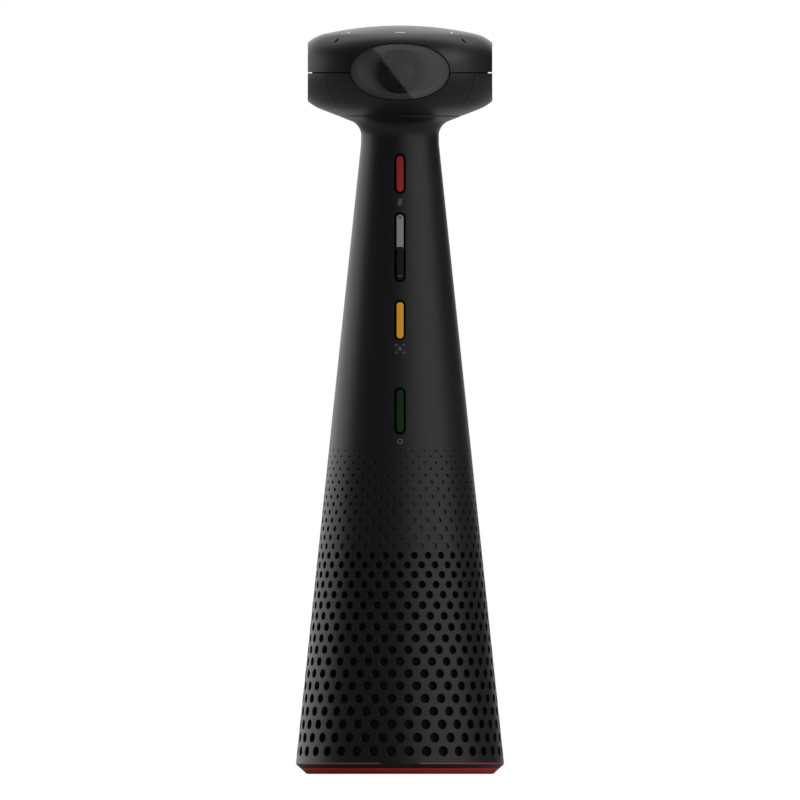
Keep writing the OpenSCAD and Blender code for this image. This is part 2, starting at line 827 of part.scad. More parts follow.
module volume_rocker() {
  inner_l = volume_l - bezel_w + button_w;
  color("lightgray") on_front(neck_z - volume_drop) difference() {
    union() {
      pill_block(button_w, inner_l, rocker_end_t, button_proud);
      translate([-button_w / 2, -rocker_hub_l / 2, -rocker_back]) cube([button_w, rocker_hub_l, rocker_back]);
      for (side = [-1, 1]) translate([0, side * rocker_plunger_y, -switch_top + press_travel + plunger_gap])
        cylinder(r = plunger_r, h = switch_top - press_travel - plunger_gap - rocker_end_t / 2);
    }
    translate([-bezel_w, 0, -rocker_pin_depth]) rotate([0, 90, 0])
      cylinder(r = rocker_pin_r + run_gap, h = 2 * bezel_w);
    translate([-bezel_w, -rocker_split / 2, button_proud - rocker_split]) cube([2 * bezel_w, rocker_split, over]);
  }
}

// Neck
module neck_collar() {
  color("#1c1c1c") difference() {
    rotate_extrude() difference() {
      polygon([
        [collar_bore_r, collar_seat_z], [collar_spigot_r - collar_spigot_wall, collar_seat_z],
        [collar_spigot_r - collar_spigot_wall, neck_z - collar_spigot_h], [collar_spigot_r, neck_z - collar_spigot_h],
        [collar_spigot_r, neck_z], [shell_top_r, neck_z], [waist_r, curve_c[1]], flare_start,
        [flare_r(seam_z - seam_gap), seam_z - seam_gap], [flare_r(seam_z) - seam_depth, seam_z - seam_gap],
        [flare_r(seam_z) - seam_depth, seam_z], [collar_bore_r, seam_z]
      ]);
      translate(curve_c) circle(r = neck_curve_r);
    }
    around(4, head_screw_ring_r) translate([0, 0, seam_z + head_floor_t - head_screw_l])
      cylinder(r = head_screw_r, h = head_screw_l);
  }
}

module head_screws() {
  color("silver") around(4, head_screw_ring_r) translate([0, 0, head_floor_z]) {
    cylinder(r = head_screw_head_r, h = head_screw_head_h);
    translate([0, 0, -head_screw_l]) cylinder(r = head_screw_r, h = head_screw_l);
  }
}

// Head shells
module head_outline(inset) {
  polygon(concat(
    [[0, seam_z - neck_h]],
    [[0, head_top_z - inset]],
    [for (p = arc(crown_c, crown_r - inset, 90, crown_angle, arc_steps)) if (p[0] > 0) p],
    arc(shoulder_c, shoulder_r - inset, crown_angle, 0, arc_steps),
    arc(under_c, under_r - inset, 0, flare_angle - 90, arc_steps),
    [[flare_start[0] + inset * (cos(flare_angle) - 1) / sin(flare_angle), flare_start[1] + inset]],
    [[0, flare_start[1] + inset]]
  ));
}

module head_solid(inset) {
  rotate_extrude() head_outline(inset);
}

module head_body(inset, half) {
  intersection() {
    head_solid(inset);
    translate([-half, -half, seam_z]) cube([2 * half, 2 * half, head_top_z - seam_z + over]);
  }
}

module window_pockets() {
  for (turn = [0, 90, 180, 270]) rotate(turn) {
    oval_block(window_a, window_b, window_seat_d, facet_d + over);
    oval_block(window_a - ledge, window_b - ledge, cavity_d - over, facet_d);
  }
}

module parting_groove(z) {
  translate([0, 0, z]) ring(head_r + over, head_r - parting_depth, 0, parting_gap / 2);
}

module head_lower_shell() {
  color("#1c1c1c") difference() {
    intersection() {
      head_body(0, facet_d);
      translate([0, 0, seam_z]) cylinder(r = head_r + over, h = bowl_h);
    }
    intersection() {
      head_body(head_wall, cavity_d);
      translate([0, 0, head_floor_z]) cylinder(r = head_r + over, h = bowl_h);
    }
    window_pockets();
    parting_groove(parting_z - parting_gap / 2);
    ring(head_r, flare_r(seam_z) - seam_depth, seam_z - over, over + run_gap);
    translate([0, 0, seam_z - over]) cylinder(r = head_bore_r, h = head_floor_t + 2 * over);
    around(4, head_screw_ring_r) translate([0, 0, seam_z - over])
      cylinder(r = head_screw_r + fit_gap, h = head_floor_t + 2 * over);
    difference() {
      for (turn = [45, 135]) rotate(turn) translate([-head_r - over, -diagonal_seam_w / 2, seam_z + head_floor_t])
        cube([2 * (head_r + over), diagonal_seam_w, bowl_h]);
      head_solid(diagonal_seam_depth);
    }
  }
}

module light_openings(extra) {
  for (turn = [0, 90, 180, 270]) rotate(turn) {
    translate([-light_bar_l / 2 - extra, -light_bar_r - light_bar_w / 2 - extra, mic_board_z + mic_board_t])
      cube([light_bar_l + 2 * extra, light_bar_w + 2 * extra, head_top_z - mic_board_z - mic_board_t]);
    rotate(45) translate([light_dot_ring_r, 0, mic_board_z + mic_board_t])
      cylinder(r = light_dot_r + extra, h = head_top_z - mic_board_z - mic_board_t, $fn = hole_sides);
  }
}

module head_upper_shell() {
  color("#1c1c1c") difference() {
    intersection() {
      head_body(0, facet_d);
      translate([0, 0, parting_z]) cylinder(r = head_r + over, h = crown_h + over);
    }
    intersection() {
      head_body(head_wall, cavity_d);
      translate([0, 0, parting_z - over]) cylinder(r = head_r + over, h = crown_h + over);
    }
    window_pockets();
    parting_groove(parting_z);
    light_openings(light_sleeve);
    around(4, mic_slot_r, 45) translate([-mic_slot_l / 2, -mic_slot_w / 2, mic_board_z])
      cube([mic_slot_l, mic_slot_w, crown_h]);
  }
}

module window_glass() {
  oval_block(window_a - pocket_gap, window_b - pocket_gap, window_seat_d, window_seat_d + glass_t);
}

module lens_mask() {
  rim_a = window_a - ledge - mask_rim_gap;
  rim_b = window_b - ledge - mask_rim_gap;
  face_d = window_seat_d - mask_rim_gap;
  difference() {
    union() {
      oval_block(mask_a, mask_b, cavity_d - mask_t, cavity_d);
      oval_block(rim_a, rim_b, cavity_d - mask_t / 2, face_d);
    }
    hull() {
      oval_block(rim_a - bowl_rim, rim_b - bowl_rim, face_d - fit_gap, face_d + over);
      translate([0, -face_d + bowl_depth, lens_z]) rotate([90, 0, 0])
        cylinder(r = rim_b - 2 * bowl_rim, h = fit_gap, $fn = bowl_sides);
    }
    disc_block(barrel_r + fit_gap, cavity_d - mask_t - over, face_d + over);
  }
}

module camera_module() {
  board_d = frame_half;
  holder_d = board_d + sensor_board_t;
  front_d = window_seat_d - barrel_end_gap;
  wall_block(sensor_board_w, sensor_board_h, board_d, holder_d);
  wall_block(holder_w, holder_w, holder_d, holder_d + holder_l);
  difference() {
    disc_block(barrel_r, holder_d + holder_l, front_d);
    disc_block(lens_r + run_gap, front_d - barrel_bore_depth, front_d + over);
  }
}

module front_lens() {
  back_d = window_seat_d - barrel_end_gap - barrel_bore_depth;
  front_d = window_seat_d - barrel_end_gap;
  intersection() {
    disc_block(lens_r, back_d, front_d);
    translate([0, -front_d + lens_dome_r, lens_z]) sphere(r = lens_dome_r);
  }
}

module window_front() {
  color("#303030") window_glass();
}

module window_right() {
  color("#303030") rotate(90) window_glass();
}

module window_back() {
  color("#303030") rotate(180) window_glass();
}

module window_left() {
  color("#303030") rotate(270) window_glass();
}

module lens_mask_front() {
  color("#141414") lens_mask();
}

module lens_mask_right() {
  color("#141414") rotate(90) lens_mask();
}

module lens_mask_back() {
  color("#141414") rotate(180) lens_mask();
}

module lens_mask_left() {
  color("#141414") rotate(270) lens_mask();
}

module camera_front() {
  color("#282828") camera_module();
}

module camera_right() {
  color("#282828") rotate(90) camera_module();
}

module camera_back() {
  color("#282828") rotate(180) camera_module();
}

module camera_left() {
  color("#282828") rotate(270) camera_module();
}

module lens_front() {
  color("steelblue") front_lens();
}

module lens_right() {
  color("steelblue") rotate(90) front_lens();
}

module lens_back() {
  color("steelblue") rotate(180) front_lens();
}

module lens_left() {
  color("steelblue") rotate(270) front_lens();
}

// Inside the head
module camera_frame() {
  inner = frame_half - frame_wall;
  color("slategray") difference() {
    translate([-frame_half, -frame_half, head_floor_z]) cube([2 * frame_half, 2 * frame_half, frame_h]);
    translate([-inner, -inner, head_floor_z + frame_foot_t]) cube([2 * inner, 2 * inner, frame_h]);
    translate([0, 0, head_floor_z - over]) cylinder(r = head_bore_r, h = frame_foot_t + 2 * over);
  }
}

module microphone_board() {
  color("darkgreen") translate([0, 0, mic_board_z]) difference() {
    intersection() {
      cylinder(r = mic_board_r, h = mic_board_t);
      translate([-cavity_d + mask_t + air_gap, -cavity_d + mask_t + air_gap, -over])
        cube([2 * (cavity_d - mask_t - air_gap), 2 * (cavity_d - mask_t - air_gap), mic_board_t + 2 * over]);
    }
    translate([0, 0, -over]) cylinder(r = mic_board_bore_r, h = mic_board_t + 2 * over);
  }
}

module microphones() {
  color("gold") around(4, mic_ring_r, 45) translate([-mic_w, -mic_l / 2, mic_board_z + mic_board_t])
    cube([mic_w, mic_l, mic_h]);
}

module status_lights() {
  color("white") intersection() {
    light_openings(0);
    head_solid(0);
  }
}

foot_ring();
bottom_cover();
base_plate();
base_screws();
tripod_insert();
ballast_weight();
accent_ring();
io_board();
usb_data_port();
usb_power_port();
port_panel();
sound_deflector();
speaker_baffle();
speaker_basket();
speaker_magnet();
speaker_cone();
speaker_enclosure();
tower_shell();
acoustic_mesh();
spine_tube();
spine_screws();
head_cable();
main_board();
heat_sink();
button_bracket();
button_board();
button_switches();
mute_bezel();
volume_bezel();
view_bezel();
power_bezel();
mute_button();
volume_rocker();
view_button();
power_button();
rocker_pin();
neck_collar();
head_screws();
head_lower_shell();
head_upper_shell();
camera_frame();
window_front();
window_right();
window_back();
window_left();
lens_mask_front();
lens_mask_right();
lens_mask_back();
lens_mask_left();
camera_front();
camera_right();
camera_back();
camera_left();
lens_front();
lens_right();
lens_back();
lens_left();
microphone_board();
microphones();
status_lights();
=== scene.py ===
# %% [markdown]
# # A conference camera on a table
# The camera is a round head with four windows on a tapered tower. The lower half of the tower is a
# loudspeaker grille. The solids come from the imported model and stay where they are. What shows is
# modelled here once more with rounder edges, and what is inside gets its finish only.

# %% Load the frame
import math
import bmesh
import bpy
from mathutils import Matrix, Vector


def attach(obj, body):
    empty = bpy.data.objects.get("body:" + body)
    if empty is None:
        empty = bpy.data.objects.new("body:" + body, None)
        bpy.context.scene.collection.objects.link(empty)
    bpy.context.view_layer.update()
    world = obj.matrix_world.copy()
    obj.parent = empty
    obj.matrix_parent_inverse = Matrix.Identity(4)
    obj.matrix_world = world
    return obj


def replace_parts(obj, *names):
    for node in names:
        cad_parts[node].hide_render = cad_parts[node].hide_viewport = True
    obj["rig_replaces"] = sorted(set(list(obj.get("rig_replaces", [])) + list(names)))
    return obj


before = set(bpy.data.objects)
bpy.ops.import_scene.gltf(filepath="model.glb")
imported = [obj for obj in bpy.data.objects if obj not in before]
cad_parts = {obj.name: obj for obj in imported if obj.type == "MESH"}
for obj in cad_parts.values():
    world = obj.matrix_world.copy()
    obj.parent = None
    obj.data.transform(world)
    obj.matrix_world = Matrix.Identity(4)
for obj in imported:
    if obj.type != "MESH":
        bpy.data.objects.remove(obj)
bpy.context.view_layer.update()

# %% [markdown]
# The sizes are a maker's sizes in millimetres, and Blender works in metres. So every helper below takes
# millimetres and multiplies by MM in one place. The tower is a cone, and its radius at a height is one
# line. The head is round too, and its four flat sides stand FACET from the middle.

# %% Sizes of the tower and the head
MM = 0.001
SHELL_Z, NECK_Z, SEAM_Z, PARTING_Z, TOP_Z = 4.5, 252.9, 263.3, 280.5, 299.4
FOOT_R, WAIST_TOP_R, WALL = 41.6, 15.5, 2.3
TAPER = (FOOT_R - WAIST_TOP_R) / (NECK_Z - SHELL_Z)
LEAN = math.atan(TAPER)
LENS_Z, HEAD_R, FACET = 281.0, 42.1, 36.9
SIDES = {"front": 0, "right": 90, "back": 180, "left": 270}
DIAGONALS = (45, 135, 225, 315)


def shell_r(z):
    return FOOT_R - TAPER * (z - SHELL_Z)


print("the tower leans in by", round(math.degrees(LEAN), 2), "degrees")

# %% [markdown]
# Blender's operators work on what is selected. These helpers open a mesh for editing with nothing
# selected, pick its parts by their place, and close it again.

# %% Helpers that open, pick and close


def only(obj):
    bpy.ops.object.select_all(action="DESELECT")
    obj.select_set(True)
    bpy.context.view_layer.objects.active = obj


def open_mesh(obj):
    only(obj)
    bpy.ops.object.mode_set(mode="EDIT")
    bpy.ops.mesh.select_all(action="DESELECT")


def close_mesh():
    bpy.ops.object.mode_set(mode="OBJECT")


def pick(obj, kind, test):
    bpy.ops.mesh.select_mode(type=kind)
    bpy.ops.mesh.select_all(action="DESELECT")
    mesh = bmesh.from_edit_mesh(obj.data)
    for part in {"VERT": mesh.verts, "EDGE": mesh.edges, "FACE": mesh.faces}[kind]:
        if test(part):
            part.select_set(True)
    mesh.select_flush_mode()
    bmesh.update_edit_mesh(obj.data)


def drawn(name, points, faces=(), edges=()):
    mesh = bpy.data.meshes.new(name)
    mesh.from_pydata([[value * MM for value in point] for point in points], list(edges), list(faces))
    obj = bpy.data.objects.new(name, mesh)
    bpy.context.collection.objects.link(obj)
    return obj


def outward(obj):
    open_mesh(obj)
    bpy.ops.mesh.select_all(action="SELECT")
    bpy.ops.mesh.remove_doubles(threshold=2e-6)
    bpy.ops.mesh.normals_make_consistent(inside=False)
    close_mesh()


# %% [markdown]
# Most of the camera is turned, as on a lathe. An outline of radius and height is drawn in one plane and
# spun round the Z axis. Where the outline starts and ends on the axis it is left open there, because the
# spin closes it.

# %% Helpers for turned, softened and cut pieces


def turned(name, outline, steps=144, start=0.0, turn=360.0):
    c, s = math.cos(math.radians(start)), math.sin(math.radians(start))
    points = [(r * c, r * s, z) for r, z in outline]
    count = len(points)
    on_axis = outline[0][0] == 0 and outline[-1][0] == 0
    whole = turn == 360.0
    edges = [(i, (i + 1) % count) for i in range(count - (1 if on_axis else 0))]
    obj = drawn(name, points, [] if whole else [range(count)], edges if whole else [])
    open_mesh(obj)
    bpy.ops.mesh.select_all(action="SELECT")
    bpy.ops.mesh.spin(steps=steps, angle=-math.radians(turn), center=(0, 0, 0), axis=(0, 0, 1))
    close_mesh()
    outward(obj)
    return obj


def finished(obj, kind, **settings):
    modifier = obj.modifiers.new("shape", kind)
    for key, value in settings.items():
        setattr(modifier, key, value)
    only(obj)
    bpy.ops.object.modifier_apply(modifier=modifier.name)


def softened(obj, width, segments=2, angle=30):
    finished(obj, "BEVEL", width=width * MM, segments=segments, limit_method="ANGLE",
             angle_limit=math.radians(angle), use_clamp_overlap=True)


def cut(obj, cutter):
    finished(obj, "BOOLEAN", operation="DIFFERENCE", object=cutter, solver="EXACT")
    bpy.data.objects.remove(cutter, do_unlink=True)


def smooth(obj, angle=35):
    only(obj)
    bpy.ops.object.shade_smooth_by_angle(angle=math.radians(angle))
    return obj


def placed(obj, matrix):
    obj.data.transform(matrix)
    return obj


def scaled_move(x, y, z):
    return Matrix.Translation((x * MM, y * MM, z * MM))


# %% [markdown]
# ## Finishes
# A finish is a small net of nodes. The class below wraps a socket, so that sums on masks are written as
# plain Python and every other node comes from one method. All patterns read Object coordinates, and
# the place of a piece is in its mesh, so the grain of the plastic has the same size everywhere.

# %% A socket that can be added and multiplied


class Wire:
    def __init__(self, tree, socket=None):
        self.tree, self.socket = tree, socket

    def node(self, kind, settings=None, sockets=None, out=0):
        made = self.tree.nodes.new("ShaderNode" + kind)
        for key, value in (settings or {}).items():
            setattr(made, key, value)
        for key, value in (sockets or {}).items():
            if isinstance(value, Wire):
                self.tree.links.new(value.socket, made.inputs[key])
            else:
                made.inputs[key].default_value = value
        return Wire(self.tree, made.outputs[out])

    def sum(self, operation, a, b):
        return self.node("Math", {"operation": operation}, {0: a, 1: b})

    def __add__(self, other):
        return self.sum("ADD", self, other)

    def __sub__(self, other):
        return self.sum("SUBTRACT", self, other)

    def __rsub__(self, other):
        return self.sum("SUBTRACT", other, self)

    def __mul__(self, other):
        return self.sum("MULTIPLY", self, other)

    __radd__ = __add__
    __rmul__ = __mul__

    def blend(self, share, low, high):
        """A colour between two others, each a colour or a wire."""
        return self.node("Mix", {"data_type": "RGBA"}, {0: share, 6: low, 7: high}, out=2)

    def into(self, socket):
        self.tree.links.new(self.socket, socket)


def linear(level):
    """The share of light that a screen gives at a level from 0 to 255."""
    share = level / 255
    return ((share + 0.055) / 1.055) ** 2.4 if level > 10 else share / 12.92


def tint(red, green, blue):
    """A colour as seen on a screen, from 0 to 255, as the shader wants it."""
    return [linear(level) for level in (red, green, blue)] + [1.0]


def faded(shade, share):
    return [v * share for v in shade[:3]] + [1.0]


def new_finish(name):
    material = bpy.data.materials.new(name)
    material.use_nodes = True
    tree = material.node_tree
    place = Wire(tree).node("TexCoord", out="Object")
    return material, tree.nodes["Principled BSDF"].inputs, place


# %% [markdown]
# The housing is dark moulded plastic with a fine spark-eroded grain, which a hand feels more than the
# eye sees. Two noises make it: a fine one for the bump and the gloss, and a slow one for the slight
# unevenness that any large moulding has.

# %% Moulded plastic


def moulded(name, shade, rough, grain=0.32, depth=0.012, uneven=0.12, specular=0.5):
    material, shader, place = new_finish(name)
    fine = place.node("TexNoise", {}, {"Vector": place, "Scale": 1 / (grain * MM), "Detail": 2.0})
    slow = place.node("TexNoise", {}, {"Vector": place, "Scale": 38.0, "Detail": 3.0})
    colour = place.blend(slow * 0.6 + fine * 0.4, faded(shade, 1 - uneven), faded(shade, 1 + uneven))
    colour.into(shader["Base Color"])
    (fine * 0.10 + slow * 0.08 + (rough - 0.09)).into(shader["Roughness"])
    bump = place.node("Bump", {}, {"Strength": 0.5, "Distance": depth * MM, "Height": fine})
    bump.into(shader["Normal"])
    shader["Specular IOR Level"].default_value = specular
    return material


housing_plastic = moulded("housing_plastic", tint(18, 18, 19), 0.42)
inner_plastic = moulded("inner_plastic", tint(34, 34, 35), 0.55)
frame_plastic = moulded("frame_plastic", tint(15, 14, 14), 0.38, depth=0.006)
foot_rubber = moulded("foot_rubber", tint(168, 38, 32), 0.5, grain=0.45, depth=0.02)
line_red = moulded("line_red", tint(150, 40, 55), 0.42, depth=0.005)
mute_red = moulded("mute_red", tint(142, 34, 29), 0.42, depth=0.006, specular=0.25)
volume_pale = moulded("volume_pale", tint(132, 132, 132), 0.42, depth=0.006)
volume_dark = moulded("volume_dark", tint(21, 21, 22), 0.4, depth=0.006, specular=0.25)
view_amber = moulded("view_amber", tint(216, 152, 28), 0.42, depth=0.006, specular=0.25)
power_green = moulded("power_green", tint(10, 44, 17), 0.42, depth=0.006, specular=0.25)
# Painted shade: a near-black for the ring that darkens the gap of the parting line.
seal_black = moulded("seal_black", tint(3, 3, 3), 0.7, depth=0.003, specular=0.05)
icon_ink = moulded("icon_ink", tint(104, 104, 106), 0.5, depth=0.003)
light_milk = moulded("light_milk", tint(214, 214, 216), 0.4, depth=0.003)
light_glow = light_milk.node_tree.nodes["Principled BSDF"].inputs
light_glow["Emission Color"].default_value = tint(214, 214, 216)
light_glow["Emission Strength"].default_value = 0.72
cable_jacket = moulded("cable_jacket", tint(40, 40, 42), 0.6)
print("finishes so far:", len(bpy.data.materials))

# %% [markdown]
# Metal parts hide inside: screws, the ballast, the loudspeaker's basket. Their brushed or turned look
# comes from a noise that is stretched along one direction, which makes fine lines of uneven gloss.

# %% Brushed and cast metal


def brushed(name, shade, rough, stretch=(1.0, 1.0, 0.08), scale=2600.0):
    material, shader, place = new_finish(name)
    drawn_out = place.node("Mapping", {}, {"Vector": place, "Scale": stretch})
    lines = place.node("TexNoise", {}, {"Vector": drawn_out, "Scale": scale, "Detail": 3.0})
    place.blend(lines, faded(shade, 0.82), faded(shade, 1.1)).into(shader["Base Color"])
    (lines * 0.25 + (rough - 0.12)).into(shader["Roughness"])
    place.node("Bump", {}, {"Strength": 0.3, "Distance": 0.01 * MM, "Height": lines}).into(shader["Normal"])
    shader["Metallic"].default_value = 1.0
    return material


steel = brushed("steel", tint(176, 178, 182), 0.32)
ballast_steel = brushed("ballast_steel", tint(120, 124, 130), 0.5, (0.1, 1.0, 1.0))
magnet_metal = brushed("magnet_metal", tint(104, 106, 110), 0.45)
brass = brushed("brass", tint(206, 172, 96), 0.3, (1.0, 1.0, 0.1))
aluminium = brushed("aluminium", tint(186, 188, 192), 0.4, (0.1, 1.0, 1.0))
print("finishes so far:", len(bpy.data.materials))

# %% [markdown]
# The cloth behind the grille is a fine woven mesh. Two wave patterns, one level and one upright,
# multiply into the crossings of the threads. The circuit boards carry copper tracks under green lacquer:
# a grid of soft cells lightens the green where a track would run.

# %% Woven mesh and circuit board


def woven(name, shade, pitch):
    material, shader, place = new_finish(name)
    weave = {"Vector": place, "Scale": 0.32 / (pitch * MM)}
    across = place.node("TexWave", {"bands_direction": "X"}, weave)
    along = place.node("TexWave", {"bands_direction": "Z"}, weave)
    threads = across * along
    place.blend(threads, faded(shade, 0.45), faded(shade, 1.3)).into(shader["Base Color"])
    (1.0 - threads * 0.2).into(shader["Roughness"])
    bump = place.node("Bump", {}, {"Strength": 0.8, "Distance": 0.1 * MM, "Height": threads})
    bump.into(shader["Normal"])
    return material


def lacquered_board(name, shade):
    material, shader, place = new_finish(name)
    cells = place.node("TexBrick", {}, {"Vector": place, "Scale": 320.0, "Color1": faded(shade, 0.8),
                                        "Color2": faded(shade, 1.25), "Mortar": faded(shade, 2.2)})
    cells.into(shader["Base Color"])
    dust = place.node("TexNoise", {}, {"Vector": place, "Scale": 900.0})
    (dust * 0.2 + 0.2).into(shader["Roughness"])
    return material


mesh_cloth = woven("mesh_cloth", tint(26, 26, 27), 0.4)
cone_paper = woven("cone_paper", tint(22, 22, 22), 0.9)
board_green = lacquered_board("board_green", tint(20, 84, 48))
print("finishes so far:", len(bpy.data.materials))

# %% [markdown]
# The windows are smoked acrylic. A pane that lets two thirds of the light through and mirrors a little
# is made with Alpha and a raised index of refraction: what is behind it shows dark, and its reflection
# stays as strong as on the real pane. The front lenses are the same with a bluish coating. The surround
# behind the pane is a mid grey, which the pane darkens to the black that shows.

# %% Smoked glass and polished black


def see_through(name, shade, alpha, index, rough=0.015):
    material, shader, place = new_finish(name)
    film = place.node("TexNoise", {}, {"Vector": place, "Scale": 60.0, "Detail": 2.0})
    place.blend(film, faded(shade, 0.7), faded(shade, 1.3)).into(shader["Base Color"])
    (film * 0.01 + rough).into(shader["Roughness"])
    shader["Alpha"].default_value = alpha
    shader["IOR"].default_value = index
    return material


smoked = see_through("smoked", tint(12, 12, 13), 0.32, 1.95)
coated_lens = see_through("coated_lens", tint(16, 18, 30), 0.6, 1.8)
mask_black = moulded("mask_black", tint(122, 122, 123), 0.42, depth=0.003)
barrel_black = moulded("barrel_black", tint(36, 36, 37), 0.35, depth=0.004)
print("finishes so far:", len(bpy.data.materials))

# %% [markdown]
# Every new piece rides on a body of the imported model and gets its finish, and most of them stand for one
# or more of its nodes. One helper does all of that, so that no piece is forgotten.

# %% Handing a piece over to the frame
made = []


def hand_over(obj, body, slot, finish, *nodes):
    obj.data.materials.clear()
    for material in finish if isinstance(finish, (list, tuple)) else [finish]:
        obj.data.materials.append(material)
    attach(obj, body)
    if nodes:
        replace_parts(obj, *nodes)
    made.append(obj)


# %% [markdown]
# ## The grille
# The shell is moulded with 36 columns of holes. The rows stand half a column apart, the holes
# shrink towards the top, and the upper fourteen rows are dimples that don't go through. Cutting more than
# a thousand holes would leave long thin faces. So one cell with its hole is modelled once, laid out
# in rows on a flat sheet whose width is measured in degrees, and the sheet is rolled up to the cone.
# A row that is half a cell further on still meets its neighbours corner to corner.

# %% One cell with a hole
BORDER, RIM_FOOT = 2.0, 0.9


def open_cell():
    """Rings of 16 points: border, rim, rim's foot, wall's end, inner border, at heights 0 0 -1 -2 -2."""
    bpy.ops.object.select_all(action="DESELECT")
    bpy.ops.mesh.primitive_circle_add(vertices=16, radius=1.0)
    obj = bpy.context.object
    obj.name = "cell"
    open_mesh(obj)
    bpy.ops.mesh.select_all(action="SELECT")
    bpy.ops.mesh.extrude_edges_move()
    bpy.ops.transform.resize(value=(BORDER, BORDER, 1))
    for size in (RIM_FOOT, 1.0):
        level = min(v.co.z for v in bmesh.from_edit_mesh(obj.data).verts)
        pick(obj, "VERT", lambda v: v.co.z < level + 0.01 and v.co.xy.length < 1.01)
        bpy.ops.mesh.extrude_edges_move()
        bpy.ops.transform.translate(value=(0, 0, -1.0))
        bpy.ops.transform.resize(value=(size, size, 1))
    pick(obj, "VERT", lambda v: v.co.z < -1.99)
    bpy.ops.mesh.extrude_edges_move()
    bpy.ops.transform.resize(value=(BORDER / RIM_FOOT, BORDER / RIM_FOOT, 1))
    close_mesh()
    return obj


cell = open_cell()
cell_points = [v.co.copy() for v in cell.data.vertices]
cell_faces = [list(f.vertices) for f in cell.data.polygons]
print("one cell:", len(cell_points), "points,", len(cell_faces), "faces")

# %% [markdown]
# The rows are counted from the bottom. Each pair of rows is a little closer than the pair below it. Round
# the port opening at the back the wall stays plain, so those cells get no hole.

# %% Rows and sizes of the holes
OPEN_ROWS, DIMPLE_ROWS, COLUMNS = 18, 14, 36
ROWS = OPEN_ROWS + DIMPLE_ROWS
HALF_CELL = 180 / COLUMNS
FIRST_ROW, ROW_PITCH, CLOSER = 4.6, 5.44, 0.052
HOLES, DIMPLES = (4.0, 2.75), (2.35, 0.7)
RIM, DIMPLE_DEPTH = 0.1, 0.6
PLAIN_HALF_W, PLAIN_TOP = 15.4, 23.63


def row_z(j):
    return SHELL_Z + FIRST_ROW + ROW_PITCH * j - CLOSER * j * (j - 1)


def hole_size(j):
    through = j < OPEN_ROWS
    (first, last), row, rows = (HOLES, j, OPEN_ROWS) if through else (DIMPLES, j - OPEN_ROWS, DIMPLE_ROWS)
    return first + (last - first) * row / (rows - 1)


def row_edges(j):
    low = SHELL_Z if j == 0 else (row_z(j - 1) + row_z(j)) / 2
    high = (row_z(j) + row_z(j + 1)) / 2
    return low, high


def behind_ports(azimuth, z):
    side, depth = math.cos(math.radians(azimuth)), math.sin(math.radians(azimuth))
    return depth > 0 and abs(shell_r(z) * side) < PLAIN_HALF_W and z < PLAIN_TOP


GRILLE_TOP = row_edges(ROWS - 1)[1]
print("grille ends at", round(GRILLE_TOP, 2), "mm, its last dimple is", round(hole_size(ROWS - 1), 2), "wide")

# %% [markdown]
# A border point of the unit cell is pushed out to the edge of its own cell, and a ring point goes to its
# true place on the hole, so each hole stays round on the curved wall.

# %% Where the points of a cell go


def snapped(share):
    return math.copysign(0.5, share) if 0.3 < abs(share) < 0.6 else round(share)


def border_place(co):
    """Where a border point of the unit cell lies between the cell's edges, as two shares from -1 to 1."""
    most = max(abs(co.x), abs(co.y))
    return snapped(co.x / most), snapped(co.y / most)


def rolled(azimuth, z, inset):
    r, a = shell_r(z) - inset, math.radians(azimuth)
    return r * math.cos(a), r * math.sin(a), z


def cell_place(co, j, azimuth):
    if co.xy.length > 1.5:
        low, high = row_edges(j)
        x, y = border_place(co)
        z = (low + high) / 2 + y * (high - low) / 2
        return rolled(azimuth + HALF_CELL * x, z, 0.0 if co.z > -0.5 else WALL)
    z, radius = row_z(j), hole_size(j) / 2
    rim = min(RIM, radius * 0.25)
    deep = WALL if j < OPEN_ROWS else DIMPLE_DEPTH
    size = radius + rim if co.z > -0.5 else radius
    along = math.atan2(co.y, co.x)
    turn = math.degrees(size * math.cos(along) / shell_r(z))
    return rolled(azimuth + turn, z + size * math.sin(along), (0.0, rim, deep)[round(-co.z)])


# %% [markdown]
# An open cell keeps all the faces of the model. A dimple gets a floor and a closed wall behind it, and a
# plain cell has only its outer and its inner face.

# %% The faces of an open, a blind and a plain cell


def by_angle(i):
    return math.atan2(cell_points[i].y, cell_points[i].x)


def loop_of(test):
    return sorted((i for i, co in enumerate(cell_points) if test(co)), key=by_angle)


outer_border = loop_of(lambda co: co.xy.length > 1.5 and co.z > -0.5)
inner_border = loop_of(lambda co: co.xy.length > 1.5 and co.z < -0.5)
hole_floor = loop_of(lambda co: co.xy.length < 1.5 and co.z < -1.5)
shut = set(inner_border + hole_floor)
dimple_faces = [face for face in cell_faces if not set(face) <= shut] + [hole_floor, inner_border]
plain_faces = [outer_border, inner_border]
print("faces in a cell:", len(cell_faces), "open,", len(dimple_faces), "blind,", len(plain_faces), "plain")

# %% [markdown]
# The sheet is laid out row by row, with the rows half a cell apart. Border points of neighbours fall on the
# same places, so merging them makes one wall of more than a thousand cells. Its two ends are bridged.

# %% The sheet, rolled up


def grille_sheet():
    points, faces = [], []
    for j in range(ROWS):
        for k in range(COLUMNS):
            azimuth = 90 + HALF_CELL * (2 * k + (j + 1) % 2)
            pattern = cell_faces if j < OPEN_ROWS else dimple_faces
            if behind_ports(azimuth, row_z(j)):
                pattern = plain_faces
            faces += [[len(points) + i for i in face] for face in pattern]
            points += [cell_place(co, j, azimuth) for co in cell_points]
    return drawn("grille", points, faces)


